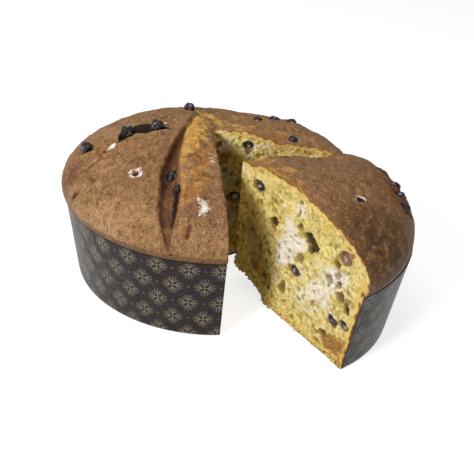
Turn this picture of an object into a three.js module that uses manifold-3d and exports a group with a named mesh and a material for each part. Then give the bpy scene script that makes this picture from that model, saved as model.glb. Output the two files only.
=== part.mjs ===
// A sweet yeast loaf with dried berries, baked in a low round paper mould.
// One wedge is cut and swung out, with its own piece of the paper still on it.
// Millimetres, +Z up. It rests at z = 0, and the origin is under the middle of its box.

import * as THREE from 'three';
import Module from 'manifold-3d';
import { mergeVertices } from 'three/addons/utils/BufferGeometryUtils.js';

const wasm = await Module();
wasm.setup();

// The paper mould
const MOULD_BASE_RADIUS = 98;
const MOULD_TOP_RADIUS = 105;
const MOULD_HEIGHT = 61;
const PAPER = 0.8;
const PAPER_SEGMENTS = 96;
const GAP = 0.3;

// The crust: how far it stands out over the paper, and the dome above that
const WIDEST_HEIGHT = 67.5;
const DOME_RISE = 35.5;
const DOME_RINGS = 20;
const OVERHANG = 2.6;
const OVERHANG_CHANGES = [
  { azimuth: 45, spread: 40, amount: 2.5 },
  { azimuth: -38, spread: 35, amount: -3.2 },
  { azimuth: 150, spread: 35, amount: -2 },
];

// The wall under the wedge is a little flatter than a true circle
const FLAT_AZIMUTH = -38;
const FLAT_SPREAD = 32;
const FLAT_DEPTH = 1;

// Swells and hollows of the dome, shared by both pieces
const SWELLS = [
  { x: 66, y: 66, spread: 26, rise: 1.5 },
  { x: -72, y: 62, spread: 34, rise: 0.5 },
  { x: 14, y: 64, spread: 23, rise: -10 },
  { x: 52, y: 17, spread: 20, rise: -8 },
  { x: -6, y: 21, spread: 20, rise: -4 },
];
const FRONT_SWELL = { x: 4, y: -90, spread: 14, rise: 6 };
const TIP_HOLLOW = { x: -4, y: 19, spread: 12, rise: -2 };
const WEDGE_SWELL = { x: 72, y: -8, spread: 18, rise: 3.5 };

// The two cuts meet a little behind the middle, and run out to the rim
const CUT_MEETING = new THREE.Vector2(-6, 21);
const FIRST_CUT_AZIMUTH = -80.7;
const SECOND_CUT_AZIMUTH = 10;
const CUT_WAVE = 0.9;
const CUT_STEP = 8;
const CUT_TOP = 126;
const CUT_BOTTOM = -7;

// Where the wedge stands after it is swung out
const WEDGE_TURN = 28;
const WEDGE_SHIFT = new THREE.Vector2(36.1, -41.8);

// The crack that runs from the back of the crust to the front rim.
// Each station is the left lip, how wide it is to the right lip, and how deep.
const CRACK = [
  { x: -19, y: 58, width: 5, depth: 3 },
  { x: -22, y: 30, width: 5, depth: 5 },
  { x: -26, y: 4, width: 5, depth: 6 },
  { x: -27, y: -20, width: 5.5, depth: 7 },
  { x: -29.5, y: -45, width: 8, depth: 7.5 },
  { x: -29.5, y: -60, width: 11, depth: 7.5 },
  { x: -28.5, y: -75, width: 13, depth: 7 },
  { x: -26.5, y: -90, width: 10, depth: 6 },
  { x: -23, y: -101, width: 7, depth: 4.5 },
  { x: -19, y: -107, width: 4, depth: 3 },
];

// The short dark crevice on the left, between two berries
const CREVICE = [
  { x: -66, y: -13, width: 3, depth: 2.5 },
  { x: -62, y: -3, width: 6, depth: 5 },
  { x: -55, y: 4, width: 6, depth: 5 },
  { x: -47, y: 8, width: 6, depth: 5 },
  { x: -38, y: 7, width: 3, depth: 2.5 },
];

// Torn crumb that stands up beside the crack. Here the depth is how high it stands.
const TORN_RIDGE = [
  { x: -16, y: 34, width: 9, depth: 1 },
  { x: -17, y: 24, width: 10, depth: 3.2 },
  { x: -18, y: 13, width: 13, depth: 1.8 },
  { x: -20, y: 2, width: 13, depth: 3.4 },
  { x: -20, y: -10, width: 15, depth: 2 },
  { x: -21, y: -22, width: 16, depth: 3.4 },
  { x: -21, y: -34, width: 16, depth: 1.8 },
  { x: -19, y: -46, width: 14, depth: 2.8 },
  { x: -14, y: -60, width: 8, depth: 0.8 },
];

// Berries on the crust: place, half sizes, share of the height that is sunk, turn
const LOAF_BERRIES = [
  { x: -88.5, y: -14, radii: [4.5, 4.8, 4.6], sunk: 0.25, turn: 10 },
  { x: -62, y: 0, radii: [5.2, 4.6, 4.6], sunk: 0.3, turn: 35 },
  { x: -42, y: 8, radii: [4.6, 4.4, 4.2], sunk: 0.25, turn: 0 },
  { x: -24, y: -52, radii: [3.8, 5.6, 4.2], sunk: 1.1, turn: 5 },
  { x: -18.5, y: -67, radii: [3, 5.6, 3.4], sunk: 1.1, turn: -12 },
  { x: -24.5, y: 66, radii: [4.4, 3.6, 3.6], sunk: 0.2, turn: 0 },
  { x: 30, y: 70, radii: [4.2, 3.8, 3.4], sunk: 0.6, turn: 20 },
  { x: 43, y: 71, radii: [5, 4, 3.6], sunk: 0.6, turn: -15 },
  { x: 57, y: 69, radii: [4.2, 3.8, 3.4], sunk: 0.6, turn: 40 },
  { x: 57, y: 28, radii: [3.6, 4, 3.6], sunk: 0.5, turn: 0 },
];
const WEDGE_BERRIES = [
  { x: 88, y: -27, radii: [4, 4.8, 4.2], sunk: 0.6, turn: 10 },
  { x: 84, y: -39, radii: [4.4, 4.8, 4.2], sunk: 0.55, turn: -20 },
  { x: 80, y: -50, radii: [4, 4.6, 3.8], sunk: 0.6, turn: 15 },
];

// Fruit in the cut faces: along the cut from where the cuts meet, height, half size
const WEDGE_FRUIT = [
  { along: 19.5, height: 85, radius: 4.2 },
  { along: 63.6, height: 43, radius: 4.2 },
  { along: 106, height: 76.5, radius: 4.6 },
  { along: 103.5, height: 28, radius: 3.8 },
  { along: 114, height: 31, radius: 3.2 },
];
const LOAF_FRUIT = [
  { along: 23, height: 42, radius: 5 },
  { along: 30, height: 86, radius: 3.2 },
];

// Open holes in the wedge's cut face, and small pits in the crust
const WEDGE_HOLES = [
  { along: 38.3, height: 67, radius: 4 },
  { along: 76.5, height: 70, radius: 6 },
  { along: 100, height: 69, radius: 2.6 },
  { along: 62, height: 84, radius: 2.8 },
  { along: 113.8, height: 44, radius: 2.6 },
];
const LOAF_PITS = [
  { x: -48.6, y: -53.4, radius: 2.6 },
  { x: -81.7, y: -20, radius: 2.8 },
  { x: -8.1, y: -100, radius: 2.4 },
  { x: -84, y: -58, radius: 2.4 },
];
const WEDGE_PITS = [
  { x: 43, y: -49.3, radius: 2.6 },
];

// The wedge's tip tore off at the bottom, and that scrap stays on the loaf
const TEAR = { reach: 38, width: 32, height: 13 };
const SCRAP_SHRINK = 6;

const crustMaterial = new THREE.MeshStandardMaterial({ color: 0xa9794c, roughness: 0.75 });
const wedgeMaterial = new THREE.MeshStandardMaterial({ color: 0xd9c583, roughness: 0.9 });
const paperMaterial = new THREE.MeshStandardMaterial({ color: 0x463c3a, roughness: 0.5 });
const berryMaterial = new THREE.MeshStandardMaterial({ color: 0x231a1e, roughness: 0.45 });

const radians = THREE.MathUtils.degToRad;

function bell(distance, spread) {
  return Math.exp(-((distance / spread) ** 2));
}

function angleBetween(a, b) {
  return THREE.MathUtils.euclideanModulo(a - b + 180, 360) - 180;
}

function flattening(azimuth) {
  return FLAT_DEPTH * bell(angleBetween(azimuth, FLAT_AZIMUTH), FLAT_SPREAD);
}

function widestRadius(azimuth) {
  let radius = MOULD_TOP_RADIUS + OVERHANG - flattening(azimuth);
  for (const change of OVERHANG_CHANGES) {
    radius += change.amount * bell(angleBetween(azimuth, change.azimuth), change.spread);
  }
  return radius;
}

function crustHeight(x, y, swells) {
  const azimuth = THREE.MathUtils.radToDeg(Math.atan2(y, x));
  const share = Math.min(Math.hypot(x, y) / widestRadius(azimuth), 1);
  let height = WIDEST_HEIGHT + DOME_RISE * Math.sqrt(1 - share * share);
  for (const swell of swells) {
    const away = Math.hypot(x - swell.x, y - swell.y) / Math.SQRT2;
    height += swell.rise * bell(away, swell.spread) * (1 - share ** 6);
  }
  return height;
}

function paperOutside(azimuth, z) {
  const share = z / MOULD_HEIGHT;
  return THREE.MathUtils.lerp(MOULD_BASE_RADIUS, MOULD_TOP_RADIUS, share) - flattening(azimuth);
}

function aroundPoint(azimuth, radius, z) {
  return new THREE.Vector3(radius * Math.cos(radians(azimuth)), radius * Math.sin(radians(azimuth)), z);
}

// Turns a list of points and triangles into a solid, faces out
function solidFrom(points, triangles) {
  const positions = new Float32Array(points.flatMap((point) => [point.x, point.y, point.z]));
  const corners = new THREE.Vector3();
  let volume = 0;
  for (const [a, b, c] of triangles) {
    volume += corners.crossVectors(points[a], points[b]).dot(points[c]);
  }
  const order = volume < 0 ? triangles.map(([a, b, c]) => [a, c, b]) : triangles;
  const mesh = { numProp: 3, vertProperties: positions, triVerts: new Uint32Array(order.flat()) };
  return new wasm.Manifold(new wasm.Mesh(mesh));
}

function solidFromGeometry(geometry) {
  const bare = geometry.clone();
  bare.deleteAttribute('normal');
  bare.deleteAttribute('uv');
  const merged = mergeVertices(bare, 1e-4);
  const source = merged.attributes.position;
  const points = [];
  for (let i = 0; i < source.count; i += 1) {
    points.push(new THREE.Vector3().fromBufferAttribute(source, i));
  }
  const index = merged.index.array;
  const triangles = [];
  for (let i = 0; i < index.length; i += 3) {
    const triangle = [index[i], index[i + 1], index[i + 2]];
    if (new Set(triangle).size === 3) triangles.push(triangle);
  }
  return solidFrom(points, triangles);
}

function geometryFromSolid(solid) {
  const mesh = solid.getMesh();
  const geometry = new THREE.BufferGeometry();
  geometry.setAttribute('position', new THREE.BufferAttribute(mesh.vertProperties, 3));
  geometry.setIndex(new THREE.BufferAttribute(mesh.triVerts, 1));
  geometry.computeVertexNormals();
  return geometry;
}

// Joins rings of equally many points into one closed solid with fan ends
function loft(rings) {
  const count = rings[0].length;
  const points = rings.flat();
  const triangles = [];
  for (let ring = 0; ring + 1 < rings.length; ring += 1) {
    for (let side = 0; side < count; side += 1) {
      const next = (side + 1) % count;
      const a = ring * count + side;
      const b = ring * count + next;
      triangles.push([a, b, b + count], [a, b + count, a + count]);
    }
  }
  for (const end of [0, rings.length - 1]) {
    const middle = new THREE.Vector3();
    rings[end].forEach((point) => middle.addScaledVector(point, 1 / count));
    points.push(middle);
    for (let side = 0; side < count; side += 1) {
      const pair = [end * count + side, end * count + ((side + 1) % count)];
      triangles.push(end === 0 ? [pair[1], pair[0], points.length - 1] : [...pair, points.length - 1]);
    }
  }
  return solidFrom(points, triangles);
}

// The whole loaf before cutting: rings of 6, 12, 18 ... points over the dome,
// then down under the overhang and inside the paper to the base.
function wholeLoaf(swells) {
  const points = [new THREE.Vector3(0, 0, crustHeight(0, 0, swells))];
  const triangles = [];
  let inner = 0;
  for (let ring = 1; ring <= DOME_RINGS; ring += 1) {
    const outer = points.length;
    const slope = (ring / DOME_RINGS) * (Math.PI / 2);
    for (let step = 0; step < 6 * ring; step += 1) {
      const angle = (2 * Math.PI * step) / (6 * ring);
      const radius = widestRadius(THREE.MathUtils.radToDeg(angle)) * Math.sin(slope);
      const x = radius * Math.cos(angle);
      const y = radius * Math.sin(angle);
      points.push(new THREE.Vector3(x, y, crustHeight(x, y, swells)));
    }
    const innerCount = Math.max(6 * (ring - 1), 1);
    for (let sector = 0; sector < 6; sector += 1) {
      for (let step = 0; step < ring; step += 1) {
        const low = sector * ring + step;
        const near = (sector * (ring - 1) + step) % innerCount;
        triangles.push([outer + low, outer + ((low + 1) % (6 * ring)), inner + near]);
        if (step < ring - 1) {
          const far = (near + 1) % innerCount;
          triangles.push([inner + near, outer + low + 1, inner + far]);
        }
      }
    }
    inner = outer;
  }
  const around = 6 * DOME_RINGS;
  const wall = [
    (azimuth) => [widestRadius(azimuth) - 1.2, WIDEST_HEIGHT - 3.2],
    (azimuth) => [paperOutside(azimuth, MOULD_HEIGHT) - PAPER - GAP, MOULD_HEIGHT + GAP],
    (azimuth) => [paperOutside(azimuth, PAPER + GAP) - PAPER - GAP, PAPER + GAP],
  ];
  for (const place of wall) {
    const start = points.length;
    for (let step = 0; step < around; step += 1) {
      const azimuth = (360 * step) / around;
      points.push(aroundPoint(azimuth, ...place(azimuth)));
      const next = (step + 1) % around;
      triangles.push([start + step, start + next, inner + next], [start + step, inner + next, inner + step]);
    }
    inner = start;
  }
  points.push(new THREE.Vector3(0, 0, PAPER + GAP));
  for (let step = 0; step < around; step += 1) {
    triangles.push([inner + ((step + 1) % around), inner + step, points.length - 1]);
  }
  return solidFrom(points, triangles);
}

// One cut from where the cuts meet out to the rim, with its direction and length
function cut(azimuth) {
  const angle = radians(azimuth);
  const end = new THREE.Vector2(Math.cos(angle), Math.sin(angle)).multiplyScalar(MOULD_TOP_RADIUS);
  const along = end.sub(CUT_MEETING);
  const length = along.length();
  return { direction: along.divideScalar(length), length };
}

const FIRST_CUT = cut(FIRST_CUT_AZIMUTH);
const SECOND_CUT = cut(SECOND_CUT_AZIMUTH);

// How far the torn crumb stands off the knife's plane; it dies out at both ends of a cut
function wave(along, z, length, phase) {
  const ends = THREE.MathUtils.smoothstep(along, 0, 12) * (1 - THREE.MathUtils.smoothstep(along, length - 22, length - 6));
  const ripple = Math.sin(along / 5.3 + z / 9.1 + phase) + Math.sin(z / 4.7 - along / 8.3 + 2 * phase);
  return (CUT_WAVE / 2) * ends * ripple;
}

// The block that the two cuts take out of the whole, wavy or with flat faces
function sectorBlock(waviness, phase) {
  const beyond = 60;
  const columns = [];
  for (const [blade, outwards] of [[FIRST_CUT, false], [SECOND_CUT, true]]) {
    const steps = Math.ceil(blade.length / CUT_STEP);
    const places = [];
    for (let step = outwards ? 1 : 0; step <= steps; step += 1) places.push((blade.length * step) / steps);
    places.push(blade.length + beyond);
    if (!outwards) places.reverse();
    for (const along of places) columns.push({ blade, along });
  }
  const rows = Math.round((CUT_TOP - CUT_BOTTOM) / CUT_STEP);
  const rings = [];
  for (let row = 0; row <= rows; row += 1) {
    const z = THREE.MathUtils.lerp(CUT_BOTTOM, CUT_TOP, row / rows);
    const ring = columns.map(({ blade, along }) => {
      const off = waviness * wave(along, z, blade.length, phase);
      const x = CUT_MEETING.x + blade.direction.x * along - blade.direction.y * off;
      const y = CUT_MEETING.y + blade.direction.y * along + blade.direction.x * off;
      return new THREE.Vector3(x, y, z);
    });
    rings.push(ring);
  }
  return loft(rings);
}

// Sections across a line on the crust: how far across from its left side, how far up
function trenchSection(width, depth) {
  const high = 12;
  return [
    [-0.5 * width, high],
    [0, -0.9 * depth],
    [0.3 * width, -depth],
    [0.75 * width, -0.7 * depth],
    [width, 1],
    [1.1 * width, high],
  ];
}

function ridgeSection(width, height) {
  const root = -4;
  return [
    [0, root],
    [0.1 * width, 0.7 * height],
    [0.35 * width, height],
    [0.7 * width, 0.6 * height],
    [width, root],
  ];
}

// Carries a section along stations of the crust
function crustRun(stations, section, swells) {
  const path = new THREE.CatmullRomCurve3(stations.map(({ x, y }) => new THREE.Vector3(x, y, 0)));
  const sizes = new THREE.CatmullRomCurve3(stations.map(({ width, depth }) => new THREE.Vector3(width, depth, 0)));
  const count = 2 * (stations.length - 1);
  const rings = [];
  for (let step = 0; step <= count; step += 1) {
    const start = path.getPoint(step / count);
    const size = sizes.getPoint(step / count);
    const heading = path.getTangent(step / count);
    const across = new THREE.Vector3(-heading.y, heading.x, 0);
    const surface = crustHeight(start.x, start.y, swells);
    rings.push(section(size.x, size.y).map(([aside, rise]) => {
      const place = start.clone().addScaledVector(across, aside);
      place.z = surface + rise;
      return place;
    }));
  }
  return loft(rings);
}

// A round lump with shallow wrinkles; clearance grows it for the pocket that it sits in
function lump(radii, phase, detail, clearance) {
  const geometry = new THREE.IcosahedronGeometry(1, detail);
  const place = geometry.attributes.position;
  for (let i = 0; i < place.count; i += 1) {
    const point = new THREE.Vector3().fromBufferAttribute(place, i);
    const wrinkle = 1 + 0.08 * Math.sin(4 * point.x + phase) * Math.cos(5 * point.y - phase + 2 * point.z);
    place.setXYZ(
      i,
      point.x * (radii[0] * wrinkle + clearance),
      point.y * (radii[1] * wrinkle + clearance),
      point.z * (radii[2] * wrinkle + clearance),
    );
  }
  return geometry;
}

function berryOnCrust({ x, y, radii, sunk, turn }, swells, clearance) {
  const z = crustHeight(x, y, swells) + radii[2] * (1 - 2 * sunk);
  return lump(radii, x + y, 1, clearance).rotateZ(radians(turn)).translate(x, y, z);
}

// A place on a cut face, moved off it to its open side by "out"
function placeOnCut(blade, side, along, height, out) {
  return new THREE.Vector3(
    CUT_MEETING.x + blade.direction.x * along + side * blade.direction.y * out,
    CUT_MEETING.y + blade.direction.y * along - side * blade.direction.x * out,
    height,
  );
}

function fruitInCut(blade, side, { along, height, radius }, out, clearance) {
  const place = placeOnCut(blade, side, along, height, out);
  return lump([radius, radius, radius * 1.15], along + height, 1, clearance).translate(...place.toArray());
}

function pit({ x, y, radius }, swells) {
  return new THREE.IcosahedronGeometry(radius, 1).translate(x, y, crustHeight(x, y, swells) + radius * 0.3);
}

// The ragged hollow under the wedge's tip
function tear(growth) {
  const bisector = FIRST_CUT.direction.clone().add(SECOND_CUT.direction);
  const geometry = lump([TEAR.reach + growth, TEAR.width + growth, TEAR.height + growth], 1.7, 3, 0);
  geometry.rotateZ(bisector.angle()).translate(CUT_MEETING.x, CUT_MEETING.y, -1);
  return solidFromGeometry(geometry);
}

function subtractAll(solid, cutters) {
  return cutters.reduce((rest, cutter) => rest.subtract(cutter), solid);
}

function namedMesh(name, geometry, material) {
  const mesh = new THREE.Mesh(geometry, material);
  mesh.name = name;
  return mesh;
}

// The paper cup of the mould, base and wall in one
function mouldPaper() {
  const ring = (z, inwards) => {
    const azimuths = Array.from({ length: PAPER_SEGMENTS }, (_, step) => (360 * step) / PAPER_SEGMENTS);
    return azimuths.map((azimuth) => aroundPoint(azimuth, paperOutside(azimuth, z) - inwards, z));
  };
  const outside = loft([ring(0, 0), ring(MOULD_HEIGHT, 0)]);
  return outside.subtract(loft([ring(PAPER, PAPER), ring(MOULD_HEIGHT + GAP, PAPER)]));
}

function loafPieces() {
  const swells = [...SWELLS, FRONT_SWELL];
  let bread = wholeLoaf(swells).add(crustRun(TORN_RIDGE, ridgeSection, swells));
  const pits = LOAF_PITS.map((place) => solidFromGeometry(pit(place, swells)));
  bread = subtractAll(bread, [
    sectorBlock(1, 0.6).subtract(tear(-SCRAP_SHRINK)),
    crustRun(CRACK, trenchSection, swells),
    crustRun(CREVICE, trenchSection, swells),
    ...pits,
  ]);
  const pieces = [];
  LOAF_BERRIES.forEach((berry, i) => {
    bread = bread.subtract(solidFromGeometry(berryOnCrust(berry, swells, GAP)));
    pieces.push(namedMesh(`loaf_berry_${i + 1}`, berryOnCrust(berry, swells, 0), berryMaterial));
  });
  LOAF_FRUIT.forEach((fruit, i) => {
    bread = bread.subtract(solidFromGeometry(fruitInCut(SECOND_CUT, 1, fruit, 0.2 - fruit.radius, 1.2)));
    const name = `loaf_fruit_${i + 1}`;
    pieces.push(namedMesh(name, fruitInCut(SECOND_CUT, 1, fruit, -0.5 - fruit.radius, 0), berryMaterial));
  });
  pieces.push(namedMesh('loaf', geometryFromSolid(bread), crustMaterial));
  const paper = mouldPaper().subtract(sectorBlock(0, 0).subtract(tear(-SCRAP_SHRINK)));
  pieces.push(namedMesh('loaf_paper', geometryFromSolid(paper), paperMaterial));
  return pieces;
}

function wedgePieces() {
  const holes = WEDGE_HOLES.map((hole) => solidFromGeometry(fruitInCut(FIRST_CUT, 1, hole, 0, 0)));
  const swells = [...SWELLS, TIP_HOLLOW, WEDGE_SWELL];
  const pits = WEDGE_PITS.map((place) => solidFromGeometry(pit(place, swells)));
  let bread = wholeLoaf(swells).intersect(sectorBlock(1, 2.4));
  bread = subtractAll(bread, [tear(0), ...holes, ...pits]);
  const pieces = [];
  WEDGE_BERRIES.forEach((berry, i) => {
    bread = bread.subtract(solidFromGeometry(berryOnCrust(berry, swells, GAP)));
    pieces.push(namedMesh(`wedge_berry_${i + 1}`, berryOnCrust(berry, swells, 0), berryMaterial));
  });
  WEDGE_FRUIT.forEach((fruit, i) => {
    bread = bread.subtract(solidFromGeometry(fruitInCut(FIRST_CUT, 1, fruit, 0.2 - fruit.radius, 1.2)));
    const name = `wedge_fruit_${i + 1}`;
    pieces.push(namedMesh(name, fruitInCut(FIRST_CUT, 1, fruit, -0.5 - fruit.radius, 0), berryMaterial));
  });
  pieces.push(namedMesh('wedge', geometryFromSolid(bread), wedgeMaterial));
  const paper = mouldPaper().intersect(sectorBlock(0, 0)).subtract(tear(1.5));
  pieces.push(namedMesh('wedge_paper', geometryFromSolid(paper), paperMaterial));
  return pieces;
}

const group = new THREE.Group();
group.add(...loafPieces());

const swungWedge = new THREE.Group();
swungWedge.add(...wedgePieces());
swungWedge.rotation.z = radians(WEDGE_TURN);
swungWedge.position.set(WEDGE_SHIFT.x, WEDGE_SHIFT.y, 0);
group.add(swungWedge);

// The origin goes under the middle of the whole
group.updateMatrixWorld(true);
const middle = new THREE.Box3().setFromObject(group, true).getCenter(new THREE.Vector3());
group.position.set(-middle.x, -middle.y, 0);

export default group;
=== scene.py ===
# %% [markdown]
# # A cut panettone in its paper mould
#
# A low, round sweet yeast loaf with dried berries, baked in a dark paper mould. Two cuts from near
# the middle to the rim free one wedge, which is swung out, so that its yellow crumb shows.
#
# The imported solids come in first, as a fixed frame. They have the right size and place but flat,
# coarse faces. So this lesson makes each piece again as a fine mesh on the same formulas: bread from
# a few sheets of triangles that share their borders, berries from wrinkled balls, and paper from
# one profile swept round the mould.

import math
from collections import namedtuple

import bmesh
import bpy
import numpy as np
from mathutils import Matrix, Vector


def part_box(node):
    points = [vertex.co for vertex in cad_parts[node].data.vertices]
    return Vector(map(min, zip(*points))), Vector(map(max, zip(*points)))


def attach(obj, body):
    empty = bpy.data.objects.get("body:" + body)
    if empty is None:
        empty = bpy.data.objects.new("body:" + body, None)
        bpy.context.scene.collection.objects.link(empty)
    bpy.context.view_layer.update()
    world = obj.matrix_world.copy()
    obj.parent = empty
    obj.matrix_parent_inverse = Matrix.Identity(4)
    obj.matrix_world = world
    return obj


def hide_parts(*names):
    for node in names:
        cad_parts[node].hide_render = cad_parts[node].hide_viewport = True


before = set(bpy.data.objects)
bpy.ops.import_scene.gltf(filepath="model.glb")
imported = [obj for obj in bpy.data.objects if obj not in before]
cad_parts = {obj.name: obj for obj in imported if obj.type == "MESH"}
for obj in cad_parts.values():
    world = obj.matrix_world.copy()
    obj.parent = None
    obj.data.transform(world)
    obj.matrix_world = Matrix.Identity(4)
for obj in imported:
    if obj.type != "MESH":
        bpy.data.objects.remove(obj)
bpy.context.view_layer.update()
print("CAD nodes:", len(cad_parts))

# %% [markdown]
# ## Sizes
#
# All sizes are in millimetres, in the loaf's own frame: its axis stands at x = 0, y = 0, and the
# base at z = 0. The row's frame has its origin elsewhere, so the paper's box gives the axis: its
# lowest x and highest y are one rim radius away from it.

# %% The mould, the dome and the cuts
def all_of(kind, *rows):
    """One record of a kind for each row of its values."""
    return [kind(*row) for row in rows]


MOULD_BASE_RADIUS = 98
MOULD_TOP_RADIUS = 105
MOULD_HEIGHT = 61
PAPER = 0.8
GAP = 0.3
WIDEST_HEIGHT = 67.5
DOME_RISE = 35.5
OVERHANG = 2.6
FLAT_AZIMUTH = -38
FLAT_SPREAD = 32
FLAT_DEPTH = 1
Change = namedtuple("Change", "azimuth spread amount")
OVERHANG_CHANGES = [Change(45, 40, 2.5), Change(-38, 35, -3.2), Change(150, 35, -2)]

Swell = namedtuple("Swell", "x y spread rise")
SWELLS = all_of(
    Swell,
    (66, 66, 26, 1.5), (-72, 62, 34, 0.5), (14, 64, 23, -10), (52, 17, 20, -8), (-6, 21, 20, -4),
)
LOAF_SWELLS = SWELLS + [Swell(4, -90, 14, 6)]
WEDGE_SWELLS = SWELLS + [Swell(-4, 19, 12, -2), Swell(72, -8, 18, 3.5)]

CUT_MEETING = np.array([-6.0, 21.0])
FIRST_CUT_AZIMUTH = -80.7
SECOND_CUT_AZIMUTH = 10
CUT_WAVE = 0.9
WEDGE_TURN = 28
WEDGE_SHIFT = np.array([36.1, -41.8, 0])
TEAR = {"reach": 38, "width": 32, "height": 13}
SCRAP_SHRINK = 6

MM = 0.001
paper_low, paper_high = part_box("loaf_paper")
AXIS = np.array([paper_low.x / MM + MOULD_TOP_RADIUS, paper_high.y / MM - MOULD_TOP_RADIUS, 0])
print("the mould's axis, mm:", AXIS.round(2))


# %% Small helpers
def bell(distance, spread):
    return np.exp(-((distance / spread) ** 2))


def smooth(low, high, value):
    """Goes from 0 at low to 1 at high, softly."""
    share = np.clip((value - low) / (high - low), 0, 1)
    return share * share * (3 - 2 * share)


def blend(low, high, share):
    return low + (high - low) * share


def angle_between(a, b):
    return (a - b + 180) % 360 - 180


def heading(degrees):
    angle = np.radians(degrees)
    return np.stack([np.cos(angle), np.sin(angle)], axis=-1)


# %% [markdown]
# ## The dome and the mould as formulas
#
# The dome is half an ellipse in section, with a few soft swells and hollows. The same formulas made
# the solids, so every mesh below lands on them.

# %% Dome and mould
def flattening(azimuth):
    return FLAT_DEPTH * bell(angle_between(azimuth, FLAT_AZIMUTH), FLAT_SPREAD)


def widest_radius(azimuth):
    radius = MOULD_TOP_RADIUS + OVERHANG - flattening(azimuth)
    for change in OVERHANG_CHANGES:
        radius = radius + change.amount * bell(angle_between(azimuth, change.azimuth), change.spread)
    return radius


def dome_height(x, y, swells):
    azimuth = np.degrees(np.arctan2(y, x))
    share = np.minimum(np.hypot(x, y) / widest_radius(azimuth), 1)
    height = WIDEST_HEIGHT + DOME_RISE * np.sqrt(1 - share * share)
    for swell in swells:
        away = np.hypot(x - swell.x, y - swell.y) / math.sqrt(2)
        height = height + swell.rise * bell(away, swell.spread) * (1 - share**6)
    return height


def paper_radius(azimuth, z):
    return blend(MOULD_BASE_RADIUS, MOULD_TOP_RADIUS, z / MOULD_HEIGHT) - flattening(azimuth)


UNDERSIDE = WIDEST_HEIGHT - MOULD_HEIGHT - GAP


def bread_radius(azimuth, z):
    """The bread's side: inside the paper, then out over its edge to the widest line."""
    inside = paper_radius(azimuth, np.minimum(z, MOULD_HEIGHT)) - PAPER - GAP
    share = np.clip((WIDEST_HEIGHT - z) / UNDERSIDE, 0, 1)
    return blend(inside, widest_radius(azimuth), np.sqrt(1 - share * share))


# %% The two cuts
Cut = namedtuple("Cut", "direction length normal phase")


def make_cut(azimuth, side, phase):
    """side is +1 where the bread's open side lies to the right of the cut, seen from the middle."""
    along = MOULD_TOP_RADIUS * heading(azimuth) - CUT_MEETING
    length = np.hypot(*along)
    direction = along / length
    normal = side * np.array([direction[1], -direction[0]])
    return Cut(direction, length, normal, phase)


LOAF_PHASE = 0.6
WEDGE_PHASE = 2.4
LOAF_CUTS = [make_cut(FIRST_CUT_AZIMUTH, -1, LOAF_PHASE), make_cut(SECOND_CUT_AZIMUTH, 1, LOAF_PHASE)]
WEDGE_CUTS = [make_cut(FIRST_CUT_AZIMUTH, 1, WEDGE_PHASE), make_cut(SECOND_CUT_AZIMUTH, -1, WEDGE_PHASE)]
FIRST_ANGLE, SECOND_ANGLE = [math.degrees(math.atan2(*cut.direction[::-1])) for cut in LOAF_CUTS]
print("the cuts head for", round(FIRST_ANGLE, 1), "and", round(SECOND_ANGLE, 1), "degrees")


def cut_wave(cut, along, z):
    """How far the torn crumb stands off the knife's plane."""
    ends = smooth(0, 12, along) * (1 - smooth(cut.length - 22, cut.length - 6, along))
    ripple = np.sin(along / 5.3 + z / 9.1 + cut.phase) + np.sin(z / 4.7 - along / 8.3 + 2 * cut.phase)
    return CUT_WAVE / 2 * ends * ripple


# %% [markdown]
# ## Noise that is the same on every run
#
# Bread is uneven at every scale. Blender's own noise sits in its shaders, but here the mesh itself
# must be uneven. A lattice of hashed numbers gives smooth noise with lumps of a known size in
# millimetres, and the same hash scatters round pores, one to a lattice cell.

# %% Noise and pores
LOW_32_BITS = 0xFFFFFFFF


def hashed(i, j, k, seed):
    """A fixed number from 0 to 1 for each cell of a lattice."""
    mixed = (i * 374761393 + j * 668265263 + k * 974711 + seed * 144665) & LOW_32_BITS
    mixed = ((mixed ^ (mixed >> 13)) * 1274126177) & LOW_32_BITS
    return ((mixed ^ (mixed >> 16)) & 0xFFFFFF) / 0x1000000


def noise(x, y, z, size, seed):
    """Smooth noise from -1 to 1 with lumps about size across."""
    places = [np.asarray(value, float) / size for value in np.broadcast_arrays(x, y, z)]
    cells = [np.floor(value).astype(np.int64) for value in places]
    parts = [value - cell for value, cell in zip(places, cells)]
    parts = [part * part * (3 - 2 * part) for part in parts]
    total = 0
    for corner in np.ndindex(2, 2, 2):
        weight = 1
        for part, step in zip(parts, corner):
            weight = weight * (part if step else 1 - part)
        total = total + weight * hashed(*[cell + step for cell, step in zip(cells, corner)], seed)
    return 2 * total - 1


def rough(x, y, z, size, octaves, seed):
    """Noise with finer and finer noise on it."""
    total = 0
    for octave in range(octaves):
        total = total + noise(x, y, z, size / 2**octave, seed + octave) / 2**octave
    return total


def pores(u, v, cell, share, seed):
    """Depth of round pits, at most one to a cell; share is how many cells have one."""
    column, row = np.floor(u / cell).astype(np.int64), np.floor(v / cell).astype(np.int64)
    deepest = np.zeros(np.shape(u))
    for step_u in (-1, 0, 1):
        for step_v in (-1, 0, 1):
            i, j = column + step_u, row + step_v
            centre_u = (i + blend(0.15, 0.85, hashed(i, j, 1, seed))) * cell
            centre_v = (j + blend(0.15, 0.85, hashed(i, j, 2, seed))) * cell
            radius = cell * blend(0.2, 0.55, hashed(i, j, 3, seed) ** 1.5)
            away = np.hypot(u - centre_u, v - centre_v)
            depth = np.sqrt(np.maximum(radius**2 - away**2, 0)) * (hashed(i, j, 4, seed) < share)
            deepest = np.maximum(deepest, depth)
    return deepest


# %% [markdown]
# ## What marks the crust
#
# The loaf burst while it baked: a long crack runs from the back to the front rim, and beside it the
# torn crumb stands up as a rough golden strip. On the left is a short crevice with two berries in
# it. Each is a line of stations on the crust, as in the solids: left edge, width and depth.

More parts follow.
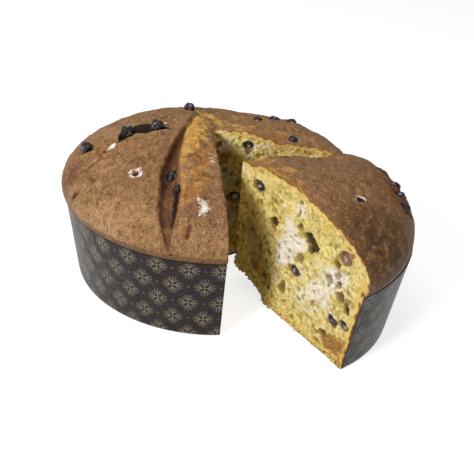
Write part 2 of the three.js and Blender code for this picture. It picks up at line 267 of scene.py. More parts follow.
# %% Lines on the crust
Station = namedtuple("Station", "x y width depth")
CRACK = all_of(
    Station,
    (-19, 58, 3, 1), (-22, 30, 4, 2.5), (-25, 4, 4.5, 4.5), (-27, -20, 6, 6.5),
    (-29.5, -45, 9, 7.5), (-29.5, -60, 11, 7.5), (-28.5, -75, 13, 7), (-26.5, -90, 10, 6),
    (-23, -101, 7, 4.5), (-19, -107, 4, 3),
)
CRACK_SLIT = all_of(
    Station,
    (-20, -64, 1.5, 0.5), (-19.5, -76, 2.2, 2), (-19, -88, 2.4, 2), (-19.5, -97, 1.6, 0.5),
)
CREVICE = all_of(
    Station,
    (-63.5, -11, 3, 2), (-61, -6, 8, 3.6), (-56, -1.5, 13, 4.2), (-46.5, 2.5, 15, 4.2),
    (-38, 5, 10, 3), (-34.5, 6, 4, 1.5),
)
FOLD_LINES = [
    all_of(
        Station,
        (-94, -41, 6, 0.8), (-86, -37, 6, 1.1), (-78, -31, 6, 1.1), (-66.6, -26.9, 6, 0.9),
        (-54.6, -25.3, 6, 0.7), (-43, -19, 6, 0.6), (-33, -9, 6, 0.4),
    ),
    all_of(Station, (-85, -62, 5, 0.5), (-80, -57, 5, 0.8), (-71.5, -50, 5, 0.7), (-60, -43, 5, 0.4)),
    all_of(Station, (-92, -24, 5, 0.6), (-82, -23, 5, 0.9), (-70, -18, 5, 0.8), (-62, -16, 5, 0.4)),
]
TORN_RIDGE = all_of(
    Station,
    (-16, 34, 9, 1), (-17, 24, 10, 3.2), (-18, 13, 13, 1.8), (-20, 2, 13, 2.7), (-20, -10, 15, 1.3),
    (-21, -22, 16, 2.4), (-21, -34, 16, 1.8), (-19, -46, 14, 2.8), (-14, -60, 8, 0.8),
)
YELLOW_BAND = all_of(
    Station,
    (-15, 52, 7, 0.7), (-19.5, 40, 14, 1), (-22.5, 20, 18, 1), (-24, -2, 18, 1),
    (-23.5, -16, 17, 1), (-21, -30, 12, 0.8), (-20, -46, 4.5, 0.5), (-18.5, -60, 4, 0.4),
    (-16.5, -74, 3, 0.3),
)
ORANGE_BAND = all_of(
    Station,
    (-8, -8, 10, 0.5), (-13, -28, 17, 0.8), (-14, -50, 19, 0.8), (-16, -68, 18, 0.8),
    (-17, -86, 9, 0.4), (-16, -100, 5, 0.4),
)
LINE_SAMPLES = 500
POINTS_AT_ONCE = 4000


def smooth_line(stations):
    """Many stations along a smooth curve through the given ones."""
    knots = np.array([stations[0], *stations, stations[-1]], float)
    places = np.linspace(0, len(stations) - 1, LINE_SAMPLES)
    index = np.minimum(places.astype(int), len(stations) - 2)
    t = (places - index)[:, None]
    a, b, c, d = (knots[index + step] for step in range(4))
    return 0.5 * (2 * b + (c - a) * t + (2 * a - 5 * b + 4 * c - d) * t**2 + (3 * b - a - 3 * c + d) * t**3)


def beside_line(x, y, stations):
    """For each point: how far it is across the line, as a share of its width; the width, the depth,
    and 1 along the line with a fall to 0 past its ends."""
    line = smooth_line(stations)
    course = np.gradient(line[:, :2], axis=0)
    course /= np.hypot(course[:, 0], course[:, 1])[:, None]
    points = np.stack([np.ravel(x), np.ravel(y)], axis=1)
    nearest = np.empty(len(points), int)
    for start in range(0, len(points), POINTS_AT_ONCE):
        part = points[start : start + POINTS_AT_ONCE, None]
        squares = (part[..., 0] - line[:, 0]) ** 2 + (part[..., 1] - line[:, 1]) ** 2
        nearest[start : start + POINTS_AT_ONCE] = np.argmin(squares, axis=1)
    offset = points - line[nearest, :2]
    across = offset[:, 1] * course[nearest, 0] - offset[:, 0] * course[nearest, 1]
    past_end = np.abs(offset[:, 0] * course[nearest, 0] + offset[:, 1] * course[nearest, 1])
    shape = np.shape(x)
    width = line[nearest, 2].reshape(shape)
    depth = line[nearest, 3].reshape(shape)
    return across.reshape(shape) / width, width, depth, bell(past_end, 3).reshape(shape)


def band(x, y, stations):
    """1 inside a ragged band beside a line, times the band's own strength, with soft edges."""
    share, _, strength, on_line = beside_line(x, y, stations)
    share = share + 0.22 * rough(x, y, 0, 7, 4, 35)
    return smooth(-0.08, 0.12, share) * smooth(1.25, 0.65, share) * strength * on_line


# %% Spots on the crust: pits, flakes, and where the crust is torn, dark or pale
Spot = namedtuple("Spot", "x y spread amount")
LOAF_PITS = all_of(
    Spot,
    (-47.5, -54, 2.7, 2), (-73.5, -26, 2.2, 1.2), (-8.1, -100, 2.4, 2), (-84, -58, 2.4, 1.8),
    (-41.6, 31.4, 1.8, 1),
)
WEDGE_PITS = [Spot(43, -49.3, 2.6, 2), Spot(25.8, 19.2, 2.4, 1.2)]
YELLOW_TEARS = all_of(
    Spot,
    (-11, 62, 8, 0.8), (-2, 52, 9, 0.7), (6, 40, 9, 0.65), (17, 27, 7, 0.7), (20, 42, 8, 0.5),
)
ORANGE_TEARS = all_of(
    Spot,
    (34, 21, 10, 0.9), (33, 10, 9, 1), (31, 45, 10, 0.5), (48, 33, 10, 0.4), (48, 12, 10, 0.35),
    (-33, 20, 8, 0.4), (10, 66, 12, 0.6), (-73.5, -26, 5, 0.7), (-74, -14, 13, 0.45),
    (-56, -20, 9, 0.35),
)
PALE_SPOTS = all_of(
    Spot,
    (-70, -19.5, 2.3, 1.4), (-69, -16.5, 2, 1.3), (-71, -22.5, 1.7, 1.2), (-37.5, 19, 1.9, 1.2),
    (-4.5, -82, 3.4, 0.48), (-0.5, -84.5, 3.4, 0.55), (1.2, -88.8, 3, 0.7), (-1.5, -91.5, 3.2, 0.5),
    (-1.6, -32, 1.9, 0.75), (0.2, -38, 1.9, 0.9), (1.6, -42, 1.6, 0.85),
)
# Dark spots: painted shade in and beside the pits.
DARK_SPOTS = all_of(
    Spot,
    (-73, -24.5, 1.7, 1), (-75, -30, 1.5, 0.8), (-86.5, -58.5, 2.2, 1.2), (-41.6, 31.4, 1.8, 1.2),
    (-8.4, -101.7, 1.6, 1.1), (-7.6, -98.6, 1.5, 1), (-76.7, -53.7, 1.8, 0.9),
    (-47, -54.3, 2.2, 1.7),
)
WEDGE_TEARS = [Spot(4, 24, 7, 1), Spot(10, 12, 7, 0.7), Spot(13, 28, 7, 0.6), Spot(12, -12, 6, 0.6)]
WEDGE_CLUSTER = all_of(Spot, (91, -3, 7, 0.8), (89, -17, 8, 1), (86, -32, 8, 1), (79, -50, 8, 1))
# Painted shade in the wedge's two pits.
WEDGE_PIT_SHADE = [Spot(25.8, 19.2, 2.5, 1.1), WEDGE_PITS[0]]
# Browning of the crust, partly painted light: the front-left, which faces the key lamp, is painted paler,
# and the front nearer the right cut is painted darker as shade.
LOAF_BROWNING_AND_PAINTED_LIGHT = all_of(
    Spot,
    (-96, -38, 16, 0.9), (-102, 0, 22, 0.4), (-60, 50, 45, 0.15), (60, 70, 45, 0.3),
    (-36, -45, 24, 0.45), (-52, -68, 18, 0.35), (-76, 9, 16, -0.35), (-62, -88, 14, -0.34),
    (-20, -95, 22, 0.25), (-2, -88, 18, 0.6),
)
# On the wedge the low right side, turned away from the key lamp, is painted dark as shade; the shoulder
# spot is browning.
WEDGE_BROWNING_AND_PAINTED_SHADE = [Spot(46, -94, 36, 1.3), Spot(98, -30, 34, 0.7), Spot(26, -66, 18, 0.2)]


def distance(x, y, place):
    return np.hypot(x - place.x, y - place.y)


def spots(x, y, places):
    """The sum of soft round spots."""
    return sum((place.amount * bell(distance(x, y, place), place.spread) for place in places), 0 * x)


# %% Berries and fruit: where they lie
Berry = namedtuple("Berry", "x y radii sunk turn")
LOAF_BERRIES = all_of(
    Berry,
    (-88.5, -14, (4.5, 4.8, 4.6), 0.25, 10), (-62, 0, (5.2, 4.6, 4.6), 0.3, 35),
    (-42, 8, (4.6, 4.4, 4.2), 0.25, 0), (-24, -52, (3.8, 5.6, 4.2), 1.1, 5),
    (-18.5, -67, (3, 5.6, 3.4), 1.1, -12), (-24.5, 66, (4.4, 3.6, 3.6), 0.2, 0),
    (30, 70, (4.2, 3.8, 3.4), 0.6, 20), (43, 71, (5, 4, 3.6), 0.6, -15),
    (57, 69, (4.2, 3.8, 3.4), 0.6, 40), (57, 28, (3.6, 4, 3.6), 0.5, 0),
)
WEDGE_BERRIES = all_of(
    Berry,
    (88, -27, (4, 4.8, 4.2), 0.6, 10), (84, -39, (4.4, 4.8, 4.2), 0.55, -20),
    (80, -50, (4, 4.6, 3.8), 0.6, 15),
)
Fruit = namedtuple("Fruit", "along height radius")
WEDGE_FRUIT = all_of(
    Fruit,
    (19.5, 85, 4.2), (63.6, 43, 4.2), (106, 76.5, 4.6), (103.5, 28, 3.8), (114, 31, 3.2),
)
PEEL_NODE = "wedge_fruit_3"
LOAF_FRUIT = [Fruit(23, 42, 5), Fruit(30, 86, 3.2)]
WEDGE_HOLES = all_of(
    Fruit,
    (38.3, 67, 4.2), (73, 72.5, 4.4), (78.5, 70, 5), (75, 66, 3), (100, 69, 3), (110.5, 79.5, 1.8),
    (60.5, 93, 2.2), (61, 86, 2), (63.5, 77, 2.2), (104, 57, 2.4), (113.8, 44, 3.4), (97, 14, 2.6),
    (32, 22, 3), (39, 14, 2.4),
)


# %% [markdown]
# ## The crust's relief
#
# The crust is a height above each point of the plan, so every mark on it is added to the dome: the crack's
# steep left lip and brown floor, the torn strip's crags, pits, wrinkles and fine grain. The same functions
# say where the crust is torn, dark or pale, and those masks go to the mesh as attributes that the material
# reads. The dark mask is partly painted shade: the crevice, the slit, the pits, the creases and the crack's
# left lip are painted dark where shade falls.

# %% Crust relief
CRACK_SHARES = [-0.16, 0.12, 0.42, 0.75, 1.12]
CRACK_DROPS = [0, 0.7, 0.85, 0.65, 0]
RIDGE_SHARES = [-0.1, 0.12, 0.4, 0.7, 1.05]
RIDGE_RISES = [0, 0.8, 1, 0.7, 0]


def grain(x, y, seed):
    """Wrinkles and grain that the whole crust has, in mm; round the shoulder they run along the rim."""
    radius = np.hypot(x, y)
    way_round = np.arctan2(y, x) * MOULD_TOP_RADIUS
    rings = rough(radius, 0.22 * way_round, 0, 4.5, 2, seed + 5) * smooth(55, 85, radius)
    swells = 0.5 * rough(x, y, 0, 14, 2, seed)
    folds = 0.35 * (1 - 2 * np.abs(rough(x, y, 0, 9, 2, seed + 3)))
    bumps = 0.24 * rough(x, y, 0, 3.2, 2, seed + 7)
    return swells + folds + bumps + 0.3 * rings


def berry_seats(x, y, berries):
    """A shallow dent round each berry with a low swell outside it."""
    total = 0 * x
    for berry in berries:
        away = distance(x, y, berry) / berry.radii[0]
        total = total - 0.9 * bell(away, 0.9) + 0.5 * bell(away - 1.5, 0.45)
    return total


def fold_relief(x, y):
    """Soft folds on the left flank: how far they rise, and the painted shade in the crease beside each."""
    rise = crease_shade = 0 * x
    for line in FOLD_LINES:
        share, _, strength, on_line = beside_line(x, y, line)
        share = share + 0.35 * rough(x, y, 0, 9, 2, 37)
        rise = rise + strength * on_line * (bell(share - 0.5, 0.45) - 0.7 * bell(share + 0.3, 0.3))
        crease_shade = crease_shade + 0.45 * strength * on_line * bell(share + 0.3, 0.22)
    return rise, crease_shade


def profile(line, ragged, shares, rises):
    """The height across a line, from its shares of the width and its rises as shares of the depth."""
    share, _, depth, on_line = line
    return np.interp(share + ragged, shares, rises) * depth * on_line


def loaf_crust(x, y):
    """The loaf's height and its masks."""
    crack = beside_line(x, y, CRACK)
    share, width, depth, on_line = crack
    ragged = 0.1 * noise(x, y, 0, 5, 31)
    drop = profile(crack, ragged, CRACK_SHARES, CRACK_DROPS)
    lip = 0.9 * bell(share * width + 1.2, 2.6) * on_line
    slot = profile(beside_line(x, y, CREVICE), 1.5 * ragged, CRACK_SHARES, CRACK_DROPS)
    folds, crease_shade = fold_relief(x, y)
    slit_share, _, slit_depth, on_slit = beside_line(x, y, CRACK_SLIT)
    slit = bell(slit_share - 0.5, 0.5) * slit_depth * on_slit
    scallops = ragged + 0.12 * rough(x, y, 0, 4, 2, 33)
    ridge = profile(beside_line(x, y, TORN_RIDGE), scallops, RIDGE_SHARES, RIDGE_RISES)

    yellow = np.clip(spots(x, y, YELLOW_TEARS), 0, 1)
    yellow = np.maximum(yellow, band(x, y, YELLOW_BAND))
    orange = np.maximum(np.clip(spots(x, y, ORANGE_TEARS), 0, 1), band(x, y, ORANGE_BAND))
    torn = np.clip(yellow + 0.8 * orange, 0, 1)
    crags = torn * (1.1 * rough(x, y, 0, 6, 3, 41) + 0.6 * np.abs(noise(x, y, 0, 2.6, 45)))
    crags = crags + 2.2 * spots(x, y, YELLOW_TEARS[:3]) * noise(x, y, 0, 7, 47)

    pits = spots(x, y, LOAF_PITS)
    flakes = spots(x, y, PALE_SPOTS) * np.abs(noise(x, y, 0, 1.8, 51))
    height = dome_height(x, y, LOAF_SWELLS) + grain(x, y, 11) + berry_seats(x, y, LOAF_BERRIES)
    height = height + lip - drop - slot - slit + ridge + crags - pits + 0.8 * flakes + folds
    # Painted shade on the crack's steep left lip; with the crevice, the slit, the dark spots and the
    # creases it makes the dark mask, besides the crack floor's brown.
    lip_shade = smooth(0.3, 0.12, np.abs(share + 0.04)) * on_line * smooth(1, 4, depth)
    channel = 0.62 * smooth(0.8, 3.5, drop) + 0.05 * lip_shade
    burn = np.clip(channel + 1.5 * smooth(0.1, 0.9, slot) + 1.2 * smooth(0.3, 1.2, slit), 0, 1.5)
    burn = np.clip(burn + spots(x, y, DARK_SPOTS) + crease_shade, 0, 1.5)
    masks = {
        "torn": torn,
        "yellow": yellow,
        "burn": burn,
        "pale": np.clip(spots(x, y, PALE_SPOTS) + 1.1 * pit_rims(x, y, LOAF_PITS[:1]), 0, 1.3),
        "baked": np.clip(spots(x, y, LOAF_BROWNING_AND_PAINTED_LIGHT), -0.6, 1),
    }
    return height, masks


def pit_rims(x, y, pits):
    """Pale rings round pits."""
    total = 0 * x
    for pit in pits:
        away = distance(x, y, pit) * (1 + 0.16 * noise(x, y, 0, 3, 57))
        broken = 0.8 + 0.45 * noise(x, y, 0, 2.6, 58)
        total = total + bell(away - 1.35 * pit.spread, 0.55 * pit.spread) * broken
    return total


def wedge_crust(x, y):
    """The wedge's height and its masks."""
    torn = np.clip(spots(x, y, WEDGE_TEARS), 0, 1)
    crags = torn * (0.8 * rough(x, y, 0, 5, 3, 61) + 0.4 * np.abs(noise(x, y, 0, 2.4, 65)))
    offset = np.stack([x, y], axis=-1) - CUT_MEETING
    from_cut, along_cut = np.abs(offset @ WEDGE_CUTS[0].normal), offset @ WEDGE_CUTS[0].direction
    glow = smooth(13, 0, from_cut) * (0.7 + 0.4 * noise(x, y, 0, 8, 75)) * smooth(100, 60, along_cut)
    cluster = np.clip(spots(x, y, WEDGE_CLUSTER), 0, 1)
    lumps = cluster * (2.2 * rough(x, y, 0, 5.5, 2, 71) + 0.6)
    height = dome_height(x, y, WEDGE_SWELLS) + grain(x, y, 21) + crags + lumps
    height = height - spots(x, y, WEDGE_PITS) + berry_seats(x, y, WEDGE_BERRIES)
    # Painted shade in the pits, and the dark berry cluster on the shoulder.
    burn = spots(x, y, WEDGE_PIT_SHADE) + cluster * (0.8 + 0.5 * noise(x, y, 0, 6, 73))
    masks = {
        "torn": np.clip(torn + glow, 0, 1),
        "yellow": 0.5 * torn + 0.25 * glow,
        "burn": np.clip(burn, 0, 1.3),
        "pale": 0.7 * pit_rims(x, y, WEDGE_PITS[:1]),
        "baked": np.clip(0.22 + spots(x, y, WEDGE_BROWNING_AND_PAINTED_SHADE), 0, 1.5),
    }
    return height, masks


# %% [markdown]
# ## The crumb's relief
#
# A cut through soft crumb tears it. The face is wavy, with pores of every size, a few large holes,
# and a shallow dish round each piece of fruit. Close to the crust the crumb is dense, so the pores
# fade there. The shift is a function of place alone, so the sheets on both sides of an edge move
# together and the edge stays closed, but ragged.

# %% Crumb relief
PORE_LAYERS = [(2.1, 0.55, 0.8, 81), (3.6, 0.36, 0.85, 82), (7, 0.07, 0.7, 83)]
EDGE_REACH = 2.6
PORE_STRETCH = 1.25
HOLE_DEEPER = 1.15
FRUIT_DISH = 2.4
FRUIT_ROOM = 0.6
FRUIT_STRETCH = 1.3


def crumb_shift(cut, along, z, skin, holes, fruit, seed):
    """How far the face stands out from the knife's plane, and how deep its open holes are."""
    dense = 0.3 + 0.7 * smooth(0.5, 5, skin)
    warp_u = along + 1.5 * noise(along, z, 0, 5, seed) + 0.8 * noise(along, z, 0, 2.2, seed + 1)
    warp_v = z / PORE_STRETCH + 1.5 * noise(along, z, 9, 5, seed + 2)
    warp_v = warp_v + 0.8 * noise(along, z, 9, 2.2, seed + 3)
    depth = 0 * along
    for cell, share, deep, layer_seed in PORE_LAYERS:
        depth = np.maximum(depth, deep * pores(warp_u, warp_v, cell, share, seed + layer_seed))
    depth = depth * dense
    for hole in holes:
        away = np.hypot(warp_u - hole.along, (warp_v - hole.height / PORE_STRETCH) * 1.1)
        depth = np.maximum(depth, HOLE_DEEPER * np.sqrt(np.maximum(hole.radius**2 - away**2, 0)))
    for piece in fruit:
        away = np.hypot((along - piece.along) / FRUIT_STRETCH, z - piece.height)
        away = away / (piece.radius + FRUIT_ROOM) + 0.16 * noise(along, z, 7, 3.4, seed + 6)
        depth = np.maximum(depth, FRUIT_DISH * np.sqrt(np.maximum(1 - away**4, 0)))
    ragged = 0.4 * rough(along, z, 3, 7, 2, seed + 4) + 0.3 * rough(along, z, 3, 1.9, 2, seed + 5)
    return cut_wave(cut, along, z) + ragged - depth, depth


def cut_shift(points, skin, cuts, holes, fruit):
    """Moves points of the bread that lie on or near its cut faces, and gives the depth of pores."""
    moved = points.copy()
    deepest = np.zeros(len(points))
    for number, cut in enumerate(cuts):
        offset = points[:, :2] - CUT_MEETING
        along = offset @ cut.direction
        away = np.abs(offset @ cut.normal)
        near = (away < EDGE_REACH) & (along > -EDGE_REACH)
        fade = (1 - smooth(0, EDGE_REACH, away[near])) * smooth(-EDGE_REACH, 0, along[near])
        seed = 100 + 20 * number + int(10 * cut.phase)
        shift, depth = crumb_shift(
            cut, along[near], points[near, 2], skin[near], holes[number], fruit[number], seed
        )
        moved[near, :2] += (fade * shift)[:, None] * cut.normal
        deepest[near] = np.maximum(deepest[near], fade * depth)
    return moved, deepest


# %% [markdown]
# ## Sheets of triangles
#
# The bread is closed from five sheets: crust, two cut faces, side and base. The crust is made of
# rows, each an arc round the point where the cuts meet, with more points the longer the arc is, so
# the triangles stay even. Two rows with different counts are zipped: walk along both at the same
# pace and add one triangle at each step. Sheets that meet have the same points on their border, and
# welding the equal points closes the whole.

# %% Zip, and the parts of a bread mesh
def zip_rows(first, second, first_places, second_places):
    """Triangles that fill the strip between two rows of vertex numbers."""
    triangles = []
    i = j = 0
    while i < len(first) - 1 or j < len(second) - 1:
        first_steps = j == len(second) - 1
        if not first_steps and i < len(first) - 1:
            first_steps = first_places[i + 1] <= second_places[j + 1]
        if first_steps:
            triangles.append((first[i], second[j], first[i + 1]))
            i += 1
        else:
            triangles.append((first[i], second[j], second[j + 1]))
            j += 1
    return triangles


WELD_STEPS = 1000


class Sheets:
    """Collects sheets of triangles with their masks, and welds them into one piece."""

    def __init__(self):
        self.parts = []
        self.count = 0

    def add(self, points, triangles, material, **masks):
        numbers = np.asarray(triangles, np.int64) + self.count
        self.parts.append((points, numbers, np.full(len(triangles), material), masks))
        self.count += len(points)

    def grid(self, grid, material=0, **masks):
        """Two triangles for each cell of a grid of points."""
        numbers = np.arange(grid[..., 0].size).reshape(grid.shape[:2])
        a, b, c, d = numbers[:-1, :-1], numbers[:-1, 1:], numbers[1:, 1:], numbers[1:, :-1]
        halves = [np.stack(corners, axis=-1).reshape(-1, 3) for corners in ((a, b, c), (a, c, d))]
        self.add(grid.reshape(-1, 3), np.concatenate(halves), material, **masks)

    def weld(self):
        """One mesh without double points: points, triangles, materials and masks."""
        sheets, triangles, materials, masks = zip(*self.parts)
        points = np.concatenate(sheets)
        keys = np.round(points * WELD_STEPS).astype(np.int64)
        _, first, inverse = np.unique(keys, axis=0, return_index=True, return_inverse=True)
        triangles = inverse.reshape(-1)[np.concatenate(triangles)]
        a, b, c = triangles.T
        whole = (a != b) & (b != c) & (c != a)
        columns = {}
        for name in sorted({name for part in masks for name in part}):
            parts = [np.broadcast_to(part.get(name, 0.0), len(sheet)) for part, sheet in zip(masks, sheets)]
            columns[name] = np.concatenate(parts)[first]
        return points[first], triangles[whole], np.concatenate(materials)[whole], columns


def stay(points):
    """The loaf isn't moved."""
    return points


def add_object(name, data):
    thing = bpy.data.objects.new(name, data)
    bpy.context.scene.collection.objects.link(thing)
    return thing


def object_from_mesh(name, points, faces, place=stay, smooth_angle=None):
    """A Blender object from points in mm; place turns and shifts them first."""
    mesh = bpy.data.meshes.new(name)
    mesh.from_pydata(((place(points) + AXIS) * MM).tolist(), [], [tuple(face) for face in faces])
    mesh.update()
    whole = bmesh.new()
    whole.from_mesh(mesh)
    bmesh.ops.recalc_face_normals(whole, faces=whole.faces)
    whole.to_mesh(mesh)
    whole.free()
    mesh.polygons.foreach_set("use_smooth", [True] * len(mesh.polygons))
    if smooth_angle is not None:
        mesh.set_sharp_from_angle(angle=math.radians(smooth_angle))
    return add_object(name, mesh)


def add_mask(piece, name, values):
    attribute = piece.data.attributes.new(name, "FLOAT", "POINT")
    attribute.data.foreach_set("value", np.asarray(values, np.float32))


def piece_from_sheets(sheets, name, place=stay, smooth_angle=None):
    points, triangles, materials, masks = sheets.weld()
    piece = object_from_mesh(name, points, triangles, place, smooth_angle)
    piece.data.polygons.foreach_set("material_index", materials.astype(np.int32))
    for mask, values in masks.items():
        add_mask(piece, mask, values)
    print(name, "triangles:", len(triangles))
    return piece


def turned(points, degrees):
    """Points turned about the upright axis."""
    cosine, sine = heading(degrees)
    return points @ np.array([[cosine, sine, 0], [-sine, cosine, 0], [0, 0, 1]])


def swing(points):
    """Puts the wedge where it stands after it is swung out."""
    return turned(points, WEDGE_TURN) + WEDGE_SHIFT


# %% Rays from where the cuts meet
FIRST_GUESS = 100.0
ROUNDS = 8
FINE_STEPS = 2000


def on_rays(reach, angles):
    """Places in plan, so far out along the rays at these angles."""
    return CUT_MEETING + np.asarray(reach)[..., None] * heading(angles)


def ray_length(angles, radius_at):
    """How far each ray from where the cuts meet runs to the outline radius_at(azimuth)."""
    inwards = heading(angles) @ CUT_MEETING
    length = np.full(np.shape(angles), FIRST_GUESS)
    for _ in range(ROUNDS):
        ends = on_rays(length, angles)
        radius = radius_at(np.degrees(np.arctan2(ends[..., 1], ends[..., 0])))
        length = -inwards + np.sqrt(inwards**2 - CUT_MEETING @ CUT_MEETING + radius**2)
    return length


def side_reach(angles, height):
    """How far rays run to the bread's side at a height."""
    return ray_length(angles, lambda azimuth: bread_radius(azimuth, height))


def even_shares(count, swells):
    """Shares along a ray that make steps of equal length over the dome."""
    fine = np.sin(np.linspace(0, math.pi / 2, FINE_STEPS))
    reach = fine * ray_length(FIRST_ANGLE, widest_radius)
    heights = dome_height(*on_rays(reach, FIRST_ANGLE).T, swells)
    travelled = np.concatenate([[0], np.cumsum(np.hypot(np.diff(reach), np.diff(heights)))])
    return np.interp(np.linspace(0, travelled[-1], count + 1), travelled, fine)


def fan_rows(shares, start, end, reach, spacing):
    """Rows of a fan: for each share the rays' angles, and the points' plan positions."""
    rows = []
    for share in shares:
        arc = math.radians(end - start) * share * MOULD_TOP_RADIUS
        count = max(round(arc / spacing), 1) if share > 0 else 0
        angles = np.linspace(start, end, count + 1) if count else np.array([start])
        rows.append((angles, on_rays(share * np.interp(angles, *reach), angles)))
    return rows


def fan_triangles(rows):
    triangles = []
    first = 0
    for (angles, _), (next_angles, _) in zip(rows, rows[1:]):
        second = first + len(angles)
        numbers = range(first, second)
        triangles += zip_rows(numbers, range(second, second + len(next_angles)), angles, next_angles)
        first = second
    return triangles


# %% A bread piece
FLOOR = PAPER + GAP
SIDE_HEIGHTS = np.array([67.5, 66.8, 65.9, 64.8, 63.6, 62.4, MOULD_HEIGHT + GAP, FLOOR])
CRUST = 0
CRUMB = 1
FAN_ANGLES = 721
BASE_SPACING = 2.6
NEAR_CRUST = 0.5
FAR_FROM_CRUST = 6.0


def tear_height(x, y, growth):
    """The height of the ragged hollow under the wedge's tip, or of the scrap that stayed behind."""
    bisector = heading((FIRST_ANGLE + SECOND_ANGLE) / 2)
    offset = np.stack([x, y], axis=-1) - CUT_MEETING
    forward = offset @ bisector / (TEAR["reach"] + growth)
    aside = offset @ np.array([-bisector[1], bisector[0]]) / (TEAR["width"] + growth)
    ragged = 1 + 0.14 * rough(x, y, 0, 9, 3, 91)
    rest = np.maximum(1 - (forward**2 + aside**2) * ragged, 0)
    return (TEAR["height"] + growth) * np.sqrt(rest) - 1


def bread_piece(name, crust, swells, cuts, start, end, rows, levels, spacing, holes, fruit, torn_tip):
    """Closes one piece of bread from its five sheets. start and end are the angles of its cuts."""
    sheets = Sheets()
    shares = even_shares(rows, swells)
    climb = np.arange(levels + 1)[:, None] / levels
    heights = blend(FLOOR, WIDEST_HEIGHT, climb[:, 0])
    fine_angles = np.linspace(start, end, FAN_ANGLES)

    def floor_height(plan):
        if not torn_tip:
            return np.full(len(plan), FLOOR)
        return np.maximum(tear_height(*plan.T, 0), FLOOR)

    def shifted(points, skin=0):
        return cut_shift(points, np.broadcast_to(skin, len(points)), cuts, holes, fruit)

    top_rows = fan_rows(shares, start, end, (fine_angles, ray_length(fine_angles, widest_radius)), spacing)
    plan = np.concatenate([places for _, places in top_rows])
    height, masks = crust(*plan.T)
    rim_angles = top_rows[-1][0]
    count = len(rim_angles)
    height[-count:] = WIDEST_HEIGHT
    top = np.column_stack([plan, height])
    sheets.add(shifted(top)[0], fan_triangles(top_rows), CRUST, **masks)

    rings = [top[-count:]]
    for level in SIDE_HEIGHTS[1:]:
        places = on_rays(side_reach(rim_angles, level), rim_angles)
        rings.append(np.column_stack([places, np.full(count, level)]))
    triangles = []
    for level in range(len(SIDE_HEIGHTS) - 1):
        for upper in range(level * count + 1, (level + 1) * count - 2):
            lower = upper + count
            triangles += [(upper, lower, upper + 1), (upper + 1, lower, lower + 1)]
    side = np.concatenate(rings)
    reaches = []
    for angle, near_column in ((start, 1), (end, count - 2)):
        reach = np.array([side_reach(angle, level) for level in heights])
        reaches.append(reach)
        edge = np.column_stack([on_rays(reach, angle), heights])[::-1]
        numbers = range(len(side), len(side) + len(edge))
        near = range(near_column, len(SIDE_HEIGHTS) * count, count)
        side = np.concatenate([side, edge])
        triangles += zip_rows(numbers, near, -heights[::-1], -SIDE_HEIGHTS)
    # The side sheet takes the rim's mean browning and painted light.
    side_browning_and_painted_light = masks["baked"][-count:].mean()
    sheets.add(shifted(side)[0], triangles, CRUST, baked=side_browning_and_painted_light, rim=1.0)

    base_rows = fan_rows(shares, start, end, (fine_angles, side_reach(fine_angles, FLOOR)), BASE_SPACING)
    base_rows[-1] = (rim_angles, rings[-1][:, :2])
    plan = np.concatenate([places for _, places in base_rows])
    base = np.column_stack([plan, floor_height(plan)])
    sheets.add(shifted(base)[0], fan_triangles(base_rows), CRUMB, skin=NEAR_CRUST)

    for angle, reach in zip((start, end), reaches):
        cut_number = int(np.argmin([abs(angle_between(angle, a)) for a in (FIRST_ANGLE, SECOND_ANGLE)]))
        top_height, _ = crust(*on_rays(shares * ray_length(angle, widest_radius), angle).T)
        top_height[-1] = WIDEST_HEIGHT
        foot_height = floor_height(on_rays(shares * reach[0], angle))
        along = shares * reach[:, None]
        z = foot_height + (top_height - foot_height) * climb
        skin = np.minimum(np.minimum(top_height - z, reach[:, None] - along), z - foot_height)
        skin = np.maximum(skin.ravel(), 0)
        points = np.concatenate([on_rays(along, angle), z[..., None]], axis=-1)
        moved, depth = shifted(points.reshape(-1, 3), skin)
        halo, toast, painted_shade = crumb_masks(name, cut_number, along.ravel(), z.ravel())
        moved = moved.reshape(points.shape)
        # The pore depth and the painted shade, where the faces lie in shade, go into one mask that darkens
        # the crumb.
        sheets.grid(moved, CRUMB, skin=skin, hole=depth + painted_shade, halo=halo, toast=toast)
    return sheets


# %% Where the crumb is stained pale by the fruit's juice and sugar, toasted, or painted darker as shade
Stain = namedtuple("Stain", "along height spread amount")
WEDGE_HALOS = all_of(
    Stain,
    (90, 38, 26, 0.44), (60, 64, 10, 1.2), (54, 52, 9, 1), (49, 43, 6, 0.8), (48, 84, 5, 0.5),
    (53, 74, 5, 0.6), (97, 57, 7, 1.1), (105, 61, 6, 1), (62, 88, 4, 0.8), (46, 27, 6, 0.6),
    (88, 40, 9, 0.5), (70, 28, 7, 0.5), (15, 50, 11, 0.5), (26, 38, 9, 0.42), (5, 92, 6, 0.6),
)
# Toasted crumb at the bottom corner, on two lumps and near the tip; the broad weak stain at the tip is
# painted shade.
WEDGE_TOASTS_AND_SHADE = all_of(
    Stain,
    (116, 13, 7, 1.2), (107, 12, 6, 1.1), (99, 11, 4, 0.8), (119, 5, 5, 0.8), (106, 78, 6, 0.7),
    (69, 57, 3.5, 0.6), (34, 18, 6, 0.6), (24, 26, 5, 0.6), (26, 30, 10, 0.3),
)
# Pale and lilac-grey stains on the loaf's face in the notch, partly painted light that brightens this face
# where it lies in shade.
LOAF_HALOS_AND_PAINTED_LIGHT = all_of(
    Stain,
    (7, 95, 5, 0.8), (16, 60, 7, 0.6), (30, 82, 9, 0.45), (46, 84, 9, 0.4), (12, 84, 7, 0.6),
    (16, 57, 9, 0.45), (21, 42, 9, 0.65), (23, 26, 9, 0.6),
)
